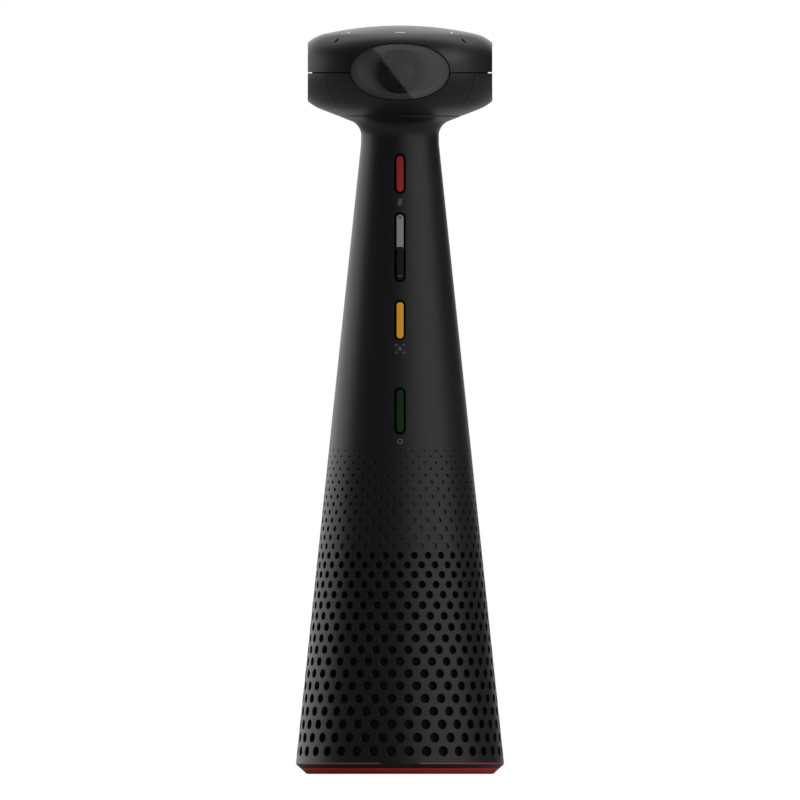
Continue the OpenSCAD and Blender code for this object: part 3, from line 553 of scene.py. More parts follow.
grille = grille_sheet()
bpy.data.objects.remove(cell, do_unlink=True)
open_mesh(grille)
bpy.ops.mesh.select_all(action="SELECT")
bpy.ops.mesh.remove_doubles(threshold=2e-5)
bpy.ops.mesh.delete_loose()
for level in (SHELL_Z, GRILLE_TOP):
    pick(grille, "EDGE", lambda e: e.is_boundary and all(abs(v.co.z / MM - level) < 0.01 for v in e.verts))
    bpy.ops.mesh.bridge_edge_loops()
bpy.ops.mesh.select_all(action="SELECT")
bpy.ops.mesh.normals_make_consistent(inside=False)
close_mesh()
print("grille:", len(grille.data.vertices), "points,", len(grille.data.polygons), "faces")

# %% [markdown]
# Above the grille the shell is plain, and it runs without a visible seam into the flared neck. It
# is turned in one piece from one outline: up the cone, round the hollow curve under the head, and back
# down the inner wall. The shadow line under the head is a small step at the top of that outline.

# %% The plain upper shell and the neck
CURVE_R, FLARE_TURN = 6.2, 21.4
WAIST_R, WAIST_RISE = 15.55, 2.5
FLARE = math.radians(FLARE_TURN)
CURVE_C = (WAIST_R + CURVE_R, NECK_Z + WAIST_RISE)
FLARE_START = (CURVE_C[0] - CURVE_R * math.sin(FLARE), CURVE_C[1] + CURVE_R * math.cos(FLARE))


def flare_r(z):
    return FLARE_START[0] + (z - FLARE_START[1]) / math.tan(FLARE)


def arc(centre, radius, start, end, steps):
    angles = [math.radians(start + (end - start) * i / steps) for i in range(steps + 1)]
    return [(centre[0] + radius * math.cos(a), centre[1] + radius * math.sin(a)) for a in angles]


STEP_Z, STEP_R, NECK_BORE_R = SEAM_Z - 0.35, flare_r(SEAM_Z) - 0.7, 12.0
outline = [(shell_r(z), z) for z in (GRILLE_TOP, 150, 170, 190, 210, 230, 242, NECK_Z - 1)]
outline += arc(CURVE_C, CURVE_R, 180, 90 + FLARE_TURN, 18)
outline += [(flare_r(STEP_Z), STEP_Z), (STEP_R, STEP_Z), (STEP_R, SEAM_Z)]
outline += [(NECK_BORE_R, SEAM_Z), (NECK_BORE_R, NECK_Z)]
outline += [(shell_r(NECK_Z) - WALL, NECK_Z), (shell_r(GRILLE_TOP) - WALL, GRILLE_TOP)]
upper = turned("upper", outline)
print("upper shell and neck:", len(upper.data.polygons), "faces")

# %% [markdown]
# The buttons stand on the slope of the tower, so they are modelled lying flat and then set up by one
# matrix: X to the right, Y up the slope, Z out of the surface. A button is a pill: a circle whose
# halves are pulled apart and joined.

# %% Pills that stand on the slope
BUTTONS = {"mute": (12.8, 16.2), "volume": (42.2, 28.0), "view": (71.4, 16.3), "power": (107.7, 19.0)}
BEZEL_W, CAP_W, BEZEL_DEPTH, RECESS_GAP = 4.5, 2.8, 3.4, 0.16
PILL_POINTS = 48


def on_front(z):
    return scaled_move(0, -shell_r(z), z) @ Matrix.Rotation(math.pi / 2 - LEAN, 4, "X")


def pill(name, width, length, low, high):
    bpy.ops.object.select_all(action="DESELECT")
    half_step = math.pi / PILL_POINTS
    bpy.ops.mesh.primitive_circle_add(
        vertices=PILL_POINTS, radius=width / 2 * MM, fill_type="NGON", rotation=(0, 0, half_step))
    obj = bpy.context.object
    bpy.ops.object.transform_apply()
    obj.name = name
    open_mesh(obj)
    for side in (-1, 1):
        pick(obj, "VERT", lambda v: v.co.y * side > 0)
        bpy.ops.transform.translate(value=(0, side * (length - width) / 2 * MM, 0))
    bpy.ops.mesh.select_all(action="SELECT")
    bpy.ops.transform.translate(value=(0, 0, low * MM))
    bpy.ops.mesh.extrude_region_move(TRANSFORM_OT_translate={"value": (0, 0, (high - low) * MM)})
    close_mesh()
    outward(obj)
    return obj


for drop, length in BUTTONS.values():
    recess = pill("recess", BEZEL_W + RECESS_GAP, length + RECESS_GAP, -BEZEL_DEPTH, BEZEL_DEPTH)
    cut(upper, placed(recess, on_front(NECK_Z - drop)))
print("upper shell with recesses:", len(upper.data.polygons), "faces")

# %% [markdown]
# The port opening is at the back, near the foot: a rectangle through the grille, with a slim black panel
# in it. It is cut before the two halves of the skin are joined.

# %% The port opening and the finished skin
PANEL_W, PANEL_H, PORT_Z = 26.0, 10.8, 15.83
PORT_LOW, PORT_HIGH = PORT_Z - PANEL_H / 2, PORT_Z + PANEL_H / 2
PORT_IN, PORT_OUT = 30, 50


def block(name, low, high):
    bpy.ops.object.select_all(action="DESELECT")
    centre = [(a + b) / 2 * MM for a, b in zip(low, high)]
    size = [(b - a) * MM for a, b in zip(low, high)]
    bpy.ops.mesh.primitive_cube_add(size=1, location=centre, scale=size)
    bpy.ops.object.transform_apply()
    obj = bpy.context.object
    obj.name = name
    return obj


cut(grille, block("opening", (-PANEL_W / 2, PORT_IN, PORT_LOW), (PANEL_W / 2, PORT_OUT, PORT_HIGH)))
only(grille)
upper.select_set(True)
bpy.context.view_layer.objects.active = grille
bpy.ops.object.join()
skin = grille
skin.name = "tower_skin"
print("tower skin:", sum(len(f.vertices) - 2 for f in skin.data.polygons), "triangles")

# %% [markdown]
# A cone that is built of small faces shows faint bands where faces of unlike size meet. The true normal
# of a cone is known at every point, so it is written onto the faces that lie on the outside. The holes
# and edges keep their own.

# %% True normals on the outside of the cone
CONE_TOP, ON_CONE, FACES_OUT = NECK_Z - 0.9, 0.06, 0.97


def true_cone_normals(obj):
    mesh = obj.data
    level, rise = math.cos(LEAN), math.sin(LEAN)
    normals = [(0.0, 0.0, 0.0)] * len(mesh.loops)
    count = 0
    for face in mesh.polygons:
        for i in face.loop_indices:
            co = mesh.vertices[mesh.loops[i].vertex_index].co
            reach = math.hypot(co.x, co.y)
            if co.z / MM > CONE_TOP or abs(reach / MM - shell_r(co.z / MM)) > ON_CONE:
                continue
            true = Vector((co.x / reach * level, co.y / reach * level, rise))
            if face.normal.dot(true) > FACES_OUT:
                normals[i] = true[:]
                count += 1
    mesh.normals_split_custom_set(normals)
    return count


smooth(skin, 30)
print("corners with a true normal:", true_cone_normals(skin))
hand_over(skin, "housing", "body_plastic", housing_plastic, "tower_shell", "neck_collar")

# %% [markdown]
# ## The head
# The head is turned from an outline of three arcs that meet smoothly: the flat crown, the tight shoulder,
# and the larger curve underneath, which ends in the straight flare. It comes apart at the middle,
# where an open line runs all round. Each half is turned by itself, with the step of that line in its
# outline, and four upright planes then cut the facets.

# %% Outlines of the two head shells
SHOULDER_R = 15.5
SHOULDER_C = (HEAD_R - SHOULDER_R, LENS_Z)
ABOVE = TOP_Z - LENS_Z
CROWN_R = (SHOULDER_C[0] ** 2 + ABOVE ** 2 - SHOULDER_R ** 2) / (2 * (ABOVE - SHOULDER_R))
CROWN_C = (0.0, TOP_Z - CROWN_R)
CROWN_ANGLE = math.degrees(math.atan2(LENS_Z - CROWN_C[1], SHOULDER_C[0]))
UNDER_H, UNDER_W = LENS_Z - FLARE_START[1], HEAD_R - FLARE_START[0]
UNDER_R = (UNDER_H * math.cos(FLARE) - UNDER_W * math.sin(FLARE)) / (1 - math.sin(FLARE))
UNDER_C = (HEAD_R - UNDER_R, LENS_Z)
GAP, GROOVE_R = 0.42, 40.5
GAP_LOW, GAP_HIGH = PARTING_Z - GAP / 2, PARTING_Z + GAP / 2


def under_angle(z):
    return math.degrees(math.asin((z - LENS_Z) / UNDER_R))


def dome_z(r):
    """Height of the crown's surface at a radius."""
    if r < CROWN_R * math.cos(math.radians(CROWN_ANGLE)):
        return CROWN_C[1] + math.sqrt(CROWN_R ** 2 - r ** 2)
    return LENS_Z + math.sqrt(max(SHOULDER_R ** 2 - (r - SHOULDER_C[0]) ** 2, 0))


crown_line = [(0.0, PARTING_Z), (GROOVE_R, PARTING_Z), (GROOVE_R, GAP_HIGH)]
crown_line += arc(UNDER_C, UNDER_R, under_angle(GAP_HIGH), 0, 2)[:-1]
crown_line += arc(SHOULDER_C, SHOULDER_R, 0, CROWN_ANGLE, 20)
crown_line += arc(CROWN_C, CROWN_R, CROWN_ANGLE, 90, 12)[1:-1] + [(0.0, TOP_Z)]
bowl_line = [(0.0, PARTING_Z), (GROOVE_R, PARTING_Z), (GROOVE_R, GAP_LOW)]
bowl_line += arc(UNDER_C, UNDER_R, under_angle(GAP_LOW), FLARE_TURN - 90, 22)
bowl_line += [(flare_r(SEAM_Z), SEAM_Z), (0.0, SEAM_Z)]
print("crown radius", round(CROWN_R, 1), "underside radius", round(UNDER_R, 2))

# %% [markdown]
# The window openings follow the line where the plane cuts the head. That line is found point by point:
# going out from the lens in one direction, the head's surface is met where its radius equals the
# distance from the axis.

# %% The windows' outline


def head_r(z):
    if z >= LENS_Z:
        if z >= dome_z(SHOULDER_C[0]):
            return SHOULDER_C[0]
        return SHOULDER_C[0] + math.sqrt(SHOULDER_R ** 2 - (z - LENS_Z) ** 2)
    if z > FLARE_START[1]:
        return UNDER_C[0] + math.sqrt(max(UNDER_R ** 2 - (z - LENS_Z) ** 2, 0))
    return flare_r(z)


def rim_reach(angle):
    low, high = 5.0, 22.0
    for _ in range(40):
        reach = (low + high) / 2
        x, z = reach * math.cos(angle), LENS_Z + reach * math.sin(angle)
        inside = head_r(z) > math.hypot(FACET, x)
        low, high = (reach, high) if inside else (low, reach)
    return low


def window_line(inset, count=96):
    angles = [2 * math.pi * i / count for i in range(count)]
    return [((rim_reach(a) - inset) * math.cos(a), (rim_reach(a) - inset) * math.sin(a)) for a in angles]


def oval_line(a, b, count=96):
    """An oval with its points in the directions that window_line uses."""
    angles = [2 * math.pi * i / count for i in range(count)]
    reach = [a * b / math.hypot(b * math.cos(t), a * math.sin(t)) for t in angles]
    return [(r * math.cos(t), r * math.sin(t)) for r, t in zip(reach, angles)]


reaches = [round(rim_reach(math.radians(angle)), 2) for angle in (0, 90, -90)]
print("a window reaches", reaches, "to the side, up and down")

# %% [markdown]
# A loft lays a skin over loops that have their points in the same directions. It makes the pocket, the
# pane and the mask of a window. They are modelled as if the lens looked up, and then aimed at one of
# the four sides.

# %% Helpers that loft and aim


def lofted(name, loops):
    """Loops are (line, distance from the axis). The first and last loop are closed by a face."""
    count = len(loops[0][0])
    points = [(x, y, d) for line, d in loops for x, y in line]
    faces = [list(range(count)), list(range(len(points) - count, len(points)))]
    for n in range(len(loops) - 1):
        for i in range(count):
            a, b = n * count + i, n * count + (i + 1) % count
            faces.append([a, b, b + count, a + count])
    obj = drawn(name, points, faces)
    outward(obj)
    return obj


def aimed(obj, turn):
    lift = scaled_move(0, 0, LENS_Z) @ Matrix.Rotation(math.pi / 2, 4, "X")
    return placed(obj, Matrix.Rotation(math.radians(turn), 4, "Z") @ lift)


# %% [markdown]
# A bisection that fills its cut makes each flat side. Every side gets a pocket for its window, and the crown
# gets a slot on each diagonal, through which a microphone hears.

# %% Facets, pockets, and microphone slots
POCKET_INSET, POCKET_FLOOR, POCKET_MOUTH = 0.14, 27.0, FACET + 2
SLOT_W, SLOT_L, SLOT_R = 1.25, 2.3, 35.8
SLOT_LOW, SLOT_HIGH = PARTING_Z + 4.5, TOP_Z + 5.6


def facetted(name, line):
    obj = turned(name, line, steps=160)
    open_mesh(obj)
    for turn in SIDES.values():
        a = math.radians(turn)
        normal = (math.sin(a), -math.cos(a), 0)
        bpy.ops.mesh.select_all(action="SELECT")
        plane_at = [v * FACET * MM for v in normal]
        bpy.ops.mesh.bisect(plane_co=plane_at, plane_no=normal, use_fill=True, clear_outer=True)
    close_mesh()
    outward(obj)
    return obj


crown, bowl = facetted("head_crown", crown_line), facetted("head_bowl", bowl_line)
window = window_line(POCKET_INSET)
for shell in (crown, bowl):
    for turn in SIDES.values():
        pocket = lofted("pocket", [(window, POCKET_FLOOR), (window, POCKET_MOUTH)])
        cut(shell, aimed(pocket, turn))
for turn in DIAGONALS:
    slot = pill("slot", SLOT_W, SLOT_L, SLOT_LOW, SLOT_HIGH)
    upright = scaled_move(SLOT_R, 0, 0) @ Matrix.Rotation(math.pi / 2, 4, "Z")
    cut(crown, placed(slot, Matrix.Rotation(math.radians(turn), 4, "Z") @ upright))
print("crown:", len(crown.data.polygons), "faces; bowl:", len(bowl.data.polygons), "faces")

# %% [markdown]
# The lower shell has a fine seam on each diagonal, where the mould's slides met. It is cut as a narrow
# groove that follows the surface: a thin upright blade, less the head made a little smaller.

# %% The diagonal seams
SEAM_HALF_W, SEAM_DEPTH, BEYOND = 0.11, 0.35, 60
SEAM_LOW, BLADE_TOP, CORE_TOP = SEAM_Z + 4.5, PARTING_Z + 5, PARTING_Z + 6
core_line = [(r - SEAM_DEPTH if r else 0.0, z) for r, z in bowl_line[3:]]
core_line = [(0.0, CORE_TOP), (core_line[0][0], CORE_TOP)] + core_line
for x, y in ((BEYOND, SEAM_HALF_W), (SEAM_HALF_W, BEYOND)):
    blade = block("blade", (-x, -y, SEAM_LOW), (x, y, BLADE_TOP))
    core = turned("core", core_line, steps=96)
    cut(blade, core)
    placed(blade, Matrix.Rotation(math.radians(45), 4, "Z"))
    cut(bowl, blade)
for shell, node in ((crown, "head_upper_shell"), (bowl, "head_lower_shell")):
    smooth(shell, 24)
    hand_over(shell, "housing", "body_plastic", housing_plastic, node)
print("bowl with seams:", len(bowl.data.polygons), "faces")

# %% [markdown]
# A near-black ring lies at the bottom of the parting line. It is painted shade that darkens the gap as the
# gap's own shadow would. The windows interrupt it, so it is four short arcs, one on each diagonal.

# %% Painted shade in the parting line
PAINTED_SHADE_IN, PAINTED_SHADE_OUT, PAINTED_SHADE_TURN = 40.1, 40.58, 29.6
seal_line = [(PAINTED_SHADE_IN, GAP_LOW), (PAINTED_SHADE_OUT, GAP_LOW), (PAINTED_SHADE_OUT, GAP_HIGH), (PAINTED_SHADE_IN, GAP_HIGH)]
# Each arc is a ring of painted shade, where the gap's shadow falls.
for middle in DIAGONALS:
    seal = turned("seal_%d" % middle, seal_line, steps=16, start=middle - PAINTED_SHADE_TURN / 2, turn=PAINTED_SHADE_TURN)
    smooth(seal, 30)
    hand_over(seal, "housing", "body_plastic", seal_black)
print("seals:", [o.name for o in made if o.name.startswith("seal")])

# %% [markdown]
# ## The windows
# Behind each pane sits a black surround: a flat rim, an oval bowl that draws in to the round lens, and
# the stepped lens barrel. They are made once, and copied for the four sides.

# %% Panes and surrounds
PANE_INSET, PANE_BACK, PANE_FRONT = 0.5, 33.9, 35.1
MASK_INSET, MASK_BACK, MASK_D = 0.45, 27.4, 33.6
BARREL_BORE_R = 8.42


def circle(r):
    return oval_line(r, r)


pane = lofted("pane", [(window_line(PANE_INSET), PANE_BACK), (window_line(PANE_INSET), PANE_FRONT)])
softened(pane, 0.12, 2)
surround = lofted("surround", [
    (circle(BARREL_BORE_R), MASK_BACK), (circle(BARREL_BORE_R), 29.6), (circle(8.55), 29.75),
    (oval_line(16.7, 8.8), 33.25), (oval_line(17.0, 9.0), 33.5), (oval_line(17.3, 9.2), MASK_D),
    (window_line(0.6), MASK_D), (window_line(MASK_INSET), MASK_D - 0.15),
    (window_line(MASK_INSET), MASK_BACK)])
open_mesh(surround)
pick(surround, "FACE", lambda f: len(f.verts) > 8)
bpy.ops.mesh.delete(type="ONLY_FACE")
pick(surround, "EDGE", lambda e: e.is_boundary)
bpy.ops.mesh.bridge_edge_loops()
close_mesh()
outward(surround)

# %% [markdown]
# A lens barrel is a turned piece with steps: an outer ring, a fine groove, a chamfer that leads down to
# the glass, and inside it the dark rings that keep stray light off the sensor.

# %% Barrels and lenses
barrel = turned("barrel", [
    (0.0, 27.5), (8.35, 27.5), (8.35, 32.35), (8.1, 32.6), (7.75, 32.6), (7.7, 32.3), (7.45, 32.3),
    (7.4, 32.55), (6.95, 32.55), (6.5, 31.9), (6.5, 31.2), (5.6, 31.0), (5.4, 30.3), (4.6, 30.2),
    (4.4, 29.5), (3.5, 29.4), (3.3, 28.8), (1.9, 28.7), (1.7, 28.2), (0.0, 28.2)], steps=96)
LENS_R, LENS_EDGE, LENS_DOME, LENS_SPREAD = 6.45, 31.5, 1.05, 1.2


def dome_share(t):
    return (math.cos(t) - math.cos(LENS_SPREAD)) / (1 - math.cos(LENS_SPREAD))


turns = [LENS_SPREAD * (1 - i / 10) for i in range(10)]
dome = [(LENS_R * math.sin(t), LENS_EDGE + LENS_DOME * dome_share(t)) for t in turns]
glass = turned("glass", [(0.0, LENS_EDGE - 0.15)] + dome + [(0.0, LENS_EDGE + LENS_DOME)], steps=96)
print("barrel:", len(barrel.data.polygons), "faces; glass:", len(glass.data.polygons), "faces")

# %% [markdown]
# The four windows are alike. Each piece is copied with a mesh of its own, aimed at its side, and handed over.

# %% Four windows from one
WINDOW_PIECES = (
    (pane, "window_pane_", smoked, "window_glass", "window_"),
    (surround, "surround_", mask_black, "mask_black", "lens_mask_"),
    (barrel, "barrel_", barrel_black, "camera_plastic", "camera_"),
    (glass, "lens_glass_", coated_lens, "lens_glass", "lens_"),
)
for side, turn in SIDES.items():
    for model, name, finish, slot, node in WINDOW_PIECES:
        copy = model.copy()
        copy.data = model.data.copy()
        copy.name = name + side
        bpy.context.collection.objects.link(copy)
        aimed(copy, turn)
        smooth(copy, 12 if model is pane else 28)
        hand_over(copy, "housing", slot, finish, node + side)
for model in (pane, surround, barrel, glass):
    bpy.data.objects.remove(model, do_unlink=True)
print("window pieces:", sum(1 for obj in made if obj.name.endswith(tuple(SIDES))))

# %% [markdown]
# ## Buttons
# Each button is a black pill-shaped frame with a coloured cap in it. The frame is a pill whose top face
# is inset and pushed down, which leaves a well. The cap has a soft edge all round and stands a
# quarter of a millimetre proud, so that a finger finds it.

# %% Frames and caps
FRAME_SUNK, WELL, WELL_GAP = 0.12, 2.7, 0.1
CAP_LOW, CAP_HIGH, CAP_EDGE = -1.85, 0.25, 0.42


def button_frame(name, length, z):
    obj = pill(name, BEZEL_W, length, -BEZEL_DEPTH, -FRAME_SUNK)
    open_mesh(obj)
    pick(obj, "FACE", lambda f: f.normal.z > 0.9)
    bpy.ops.mesh.inset(thickness=((BEZEL_W - CAP_W) / 2 - WELL_GAP) * MM)
    bpy.ops.transform.translate(value=(0, 0, -WELL * MM))
    close_mesh()
    softened(obj, 0.32, 3, 50)
    placed(obj, on_front(z))
    return smooth(obj, 40)


def flat_cap(name, length):
    """A cap that still lies flat, with its upper edge softened. It is left open for editing."""
    obj = pill(name, CAP_W, length - BEZEL_W + CAP_W, CAP_LOW, CAP_HIGH)
    open_mesh(obj)
    pick(obj, "FACE", lambda f: f.normal.z > 0.9)
    bpy.ops.mesh.bevel(offset=CAP_EDGE * MM, segments=4, profile=0.6, affect="EDGES")
    return obj


for name, (drop, length) in BUTTONS.items():
    rim = button_frame("frame_" + name, length, NECK_Z - drop)
    hand_over(rim, "housing", "bezel_black", frame_plastic, name + "_bezel")
CAPS = {
    "mute": (mute_red, "mute_red"),
    "view": (view_amber, "view_amber"),
    "power": (power_green, "power_green"),
}
for name, (finish, slot) in CAPS.items():
    drop, length = BUTTONS[name]
    cap = flat_cap("cap_" + name, length)
    close_mesh()
    smooth(placed(cap, on_front(NECK_Z - drop)), 60)
    hand_over(cap, name + "_button", slot, finish, name + "_button")
print("caps and frames:", [o.name for o in made if o.name.startswith(("cap_", "frame_"))])

# %% [markdown]
# The volume rocker is one cap in two colours, pale above and dark below, with a fine groove between
# them where the two shots of plastic meet. The halves are told apart by the place of their faces.

# %% The volume rocker
SPLIT_HALF_W, SPLIT_DEPTH = 0.14, 0.16
drop, length = BUTTONS["volume"]
on_rocker = on_front(NECK_Z - drop)
rocker = flat_cap("cap_volume", length)
for place in (-SPLIT_HALF_W, SPLIT_HALF_W):
    bpy.ops.mesh.select_all(action="SELECT")
    bpy.ops.mesh.bisect(plane_co=(0, place * MM, 0), plane_no=(0, 1, 0))
pick(rocker, "FACE", lambda f: abs(f.calc_center_median().y) < 0.1 * MM and f.normal.z > 0.1)
bpy.ops.transform.translate(value=(0, 0, -SPLIT_DEPTH * MM))
close_mesh()
for face in rocker.data.polygons:
    face.material_index = 0 if face.center.y > 0 else 1
placed(rocker, on_rocker)
smooth(rocker, 40)
shares = [face.material_index for face in rocker.data.polygons]
hand_over(rocker, "volume_rocker", "volume_grey", [volume_pale, volume_dark], "volume_rocker")
for face, share in zip(rocker.data.polygons, shares):
    face.material_index = share
print("rocker faces:", len(shares))

# %% [markdown]
# The marks are printed. Each is a flat shape with a real thickness of a few hundredths of a millimetre.
# Those on the tower are wrapped onto the cone, so that they lie close all over.

# %% Bars, arcs and how they are printed


def bar(x0, y0, x1, y1, width, steps=4):
    """A straight stroke between two points, as its left and its right edge in millimetres."""
    dx, dy = x1 - x0, y1 - y0
    reach = math.hypot(dx, dy)
    nx, ny = -dy / reach * width / 2, dx / reach * width / 2
    middle = [(x0 + dx * i / steps, y0 + dy * i / steps) for i in range(steps + 1)]
    return [(x + nx, y + ny) for x, y in middle], [(x - nx, y - ny) for x, y in middle]


def bow(cx, cy, radius, start, end, width, steps=24):
    """A stroke along an arc, as its outer and its inner edge."""
    return [arc((cx, cy), r, start, end, steps) for r in (radius + width / 2, radius - width / 2)]


def printed(name, strokes, thick=0.03):
    points, faces = [], []
    for left, right in strokes:
        count = len(left)
        a, b = len(points), len(points) + count
        points += [(x, y, 0.0) for x, y in left + right]
        faces += [[a + i, a + i + 1, b + i + 1, b + i] for i in range(count - 1)]
    obj = drawn(name, points, faces)
    open_mesh(obj)
    bpy.ops.mesh.select_all(action="SELECT")
    bpy.ops.mesh.extrude_region_move(TRANSFORM_OT_translate={"value": (0, 0, thick * MM)})
    bpy.ops.mesh.select_all(action="SELECT")
    bpy.ops.mesh.normals_make_consistent(inside=False)
    close_mesh()
    return obj


def wrapped_on_tower(obj, z):
    for v in obj.data.vertices:
        up = z + v.co.y / MM * math.cos(LEAN)
        around = -math.pi / 2 + v.co.x / MM / shell_r(z)
        r = shell_r(up) + v.co.z / MM
        v.co = (r * math.cos(around) * MM, r * math.sin(around) * MM, up * MM)
    return obj


# %% [markdown]
# The three signs are the common ones for a muted microphone, for a framed view of a person, and for
# power. The rocker has a plus and a minus.

# %% The printed signs
muted = [
    bow(0, 0.55, 0.5, 0, 180, 0.22), bow(0, 0.05, 0.5, 180, 360, 0.22),
    bar(-0.5, 0.0, -0.5, 0.6, 0.22), bar(0.5, 0.0, 0.5, 0.6, 0.22), bow(0, 0.0, 0.95, 200, 340, 0.2),
    bar(0, -0.95, 0, -1.45, 0.22), bar(-0.5, -1.5, 0.5, -1.5, 0.2), bar(-1.0, -1.2, 1.0, 1.5, 0.22)]
framed = [
    bow(0, 0.45, 0.42, 0, 360, 0.22), bow(0, -0.75, 0.75, 20, 160, 0.22), bar(-0.72, -0.6, 0.72, -0.6, 0.22)]
for x in (-1, 1):
    for y in (-1, 1):
        framed.append(bar(x * 1.75, y * 0.85, x * 1.75, y * 1.75, 0.24))
        framed.append(bar(x * 0.85, y * 1.75, x * 1.87, y * 1.75, 0.24))
power = [bow(0, 0, 1.0, -235, 55, 0.26), bar(0, 0.25, 0, 1.2, 0.26)]
SIGNS = (("sign_mute", muted, 228.9), ("sign_view", framed, 170.1), ("sign_power", power, 133.1))
for name, strokes, z in SIGNS:
    hand_over(wrapped_on_tower(printed(name, strokes), z), "housing", "volume_grey", icon_ink)
PLUS_AT, MINUS_AT, ROCKER_TOP = 11.9, -11.6, 0.235
level, upright = bar(-0.7, 0, 0.7, 0, 0.28), bar(0, -0.7, 0, 0.7, 0.28)
plus = placed(printed("sign_plus", [level, upright]), on_rocker @ scaled_move(0, PLUS_AT, ROCKER_TOP))
minus = placed(printed("sign_minus", [level]), on_rocker @ scaled_move(0, MINUS_AT, ROCKER_TOP))
hand_over(plus, "volume_rocker", "bezel_black", volume_dark)
hand_over(minus, "volume_rocker", "volume_grey", icon_ink)
print("signs:", [o.name for o in made if o.name.startswith("sign")])

# %% [markdown]
# ## Foot and base
# The foot is a soft red ring under a dark base plate with a chamfer, and a thin coloured line runs round
# above it. The line stops short at the front, where the housing is left bare.

# %% Foot, base plate and line
foot = turned("foot", [(30.0, 0.0), (36.9, 0.0), (37.45, 0.14), (39.6, 2.1), (39.74, 2.32), (30.0, 2.32)])
smooth(foot, 30)
hand_over(foot, "housing", "foot_rubber", foot_rubber, "foot_ring")
base = turned("base_rim", [
    (5.0, 2.3), (39.75, 2.3), (39.98, 2.42), (41.5, 3.85), (41.55, 4.0),
    (37.0, 4.0), (37.0, 5.6), (5.0, 5.6)])
smooth(base, 30)
hand_over(base, "housing", "body_plastic", housing_plastic, "base_plate")
LINE_LOW, LINE_IN, LINE_OUT, BRIDGE_OUT = 4.0, 38.6, 41.59, 41.56
BARE_HALF_W, BRIDGE_PLAY = 8.0, 0.15
HALF_GAP = math.degrees(math.asin(BARE_HALF_W / FOOT_R))


def line_outline(outer):
    return [(LINE_IN, LINE_LOW), (outer, LINE_LOW), (outer, SHELL_Z), (LINE_IN, SHELL_Z)]


line = turned("accent_line", line_outline(LINE_OUT), steps=132, start=-90 + HALF_GAP, turn=360 - 2 * HALF_GAP)
smooth(line, 30)
hand_over(line, "housing", "accent_red", line_red, "accent_ring")
span = HALF_GAP - BRIDGE_PLAY
bridge = turned("line_bridge", line_outline(BRIDGE_OUT), steps=12, start=-90 - span, turn=2 * span)
smooth(bridge, 30)
hand_over(bridge, "housing", "body_plastic", housing_plastic)
print("base pieces:", foot.name, base.name, line.name)

# %% [markdown]
# The crown has a short white bar above each lens and a dot on each diagonal, the ends of light guides.
# They are thin caps that follow the curve of the crown, and the dots stand a little proud of it.

# %% Light guides in the crown
BAR_W, BAR_L, BAR_R, DOT_W, DOT_R = 0.55, 4.0, 27.5, 0.75, 29.1
BAR_RISE, DOT_RISE, LIGHT_SUNK = 0.02, 0.4, 0.6


def laid_on_crown(obj, turn, rise):
    spin = Matrix.Rotation(math.radians(turn), 4, "Z")
    for v in obj.data.vertices:
        spot = spin @ v.co
        rise_here = rise if v.co.z > 0 else -LIGHT_SUNK
        spot.z = (dome_z(math.hypot(spot.x, spot.y) / MM) + rise_here) * MM
        v.co = spot
    return obj


for side, turn in SIDES.items():
    across = scaled_move(0, -BAR_R, 0) @ Matrix.Rotation(math.pi / 2, 4, "Z")
    light = placed(pill("light_bar_" + side, BAR_W, BAR_L, -0.1, 0.1), across)
    nodes = ["status_lights"] if side == "front" else []
    hand_over(laid_on_crown(light, turn, BAR_RISE), "housing", "light_white", light_milk, *nodes)
    dot = placed(pill("light_dot_" + side, DOT_W, DOT_W, -0.1, 0.1), scaled_move(DOT_R, 0, 0))
    hand_over(laid_on_crown(dot, turn + 45, DOT_RISE), "housing", "light_white", light_milk)
print("lights:", [o.name for o in made if o.name.startswith("light")])

# %% [markdown]
# ## What is inside, and what stays as it is
# The inner parts keep the shape that they have in the model. Each gets the finish of its stuff.

# %% Finishes for the carried-over parts
INSIDE = {
    steel: "base_screws spine_screws head_screws rocker_pin button_switches usb_data_port usb_power_port "
           "speaker_basket",
    ballast_steel: "ballast_weight",
    magnet_metal: "speaker_magnet",
    brass: "tripod_insert microphones",
    aluminium: "heat_sink camera_frame",
    board_green: "io_board main_board button_board microphone_board",
    inner_plastic: "sound_deflector speaker_baffle speaker_enclosure spine_tube button_bracket bottom_cover",
    frame_plastic: "port_panel",
    mesh_cloth: "acoustic_mesh",
    cone_paper: "speaker_cone",
    cable_jacket: "head_cable",
}
covered = {node for obj in made for node in obj.get("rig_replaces", [])}
for finish, names in INSIDE.items():
    for name in names.split():
        covered.add(name)
        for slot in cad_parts[name].material_slots:
            slot.material = finish
print("nodes without a finish:", sorted(set(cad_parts) - covered))

# %% [markdown]
# ## Floor, light and camera
# The floor is a plain pale disc that ends in front of the lamps, and a wider sheet, which the camera doesn't
# see, goes on for the reflections. Close to the object both carry painted shade for gloss: they show dark
# grey in reflections, so that they don't wash out the foot of the tower. Far behind the object they are pale
# for gloss too.

# %% The floor
FLOOR_R, SHEET_W = 2.3, 6.0
FAR_FROM, FAR_TO = 0.25, 0.8


def grey(share):
    return (share, share, share, 1)


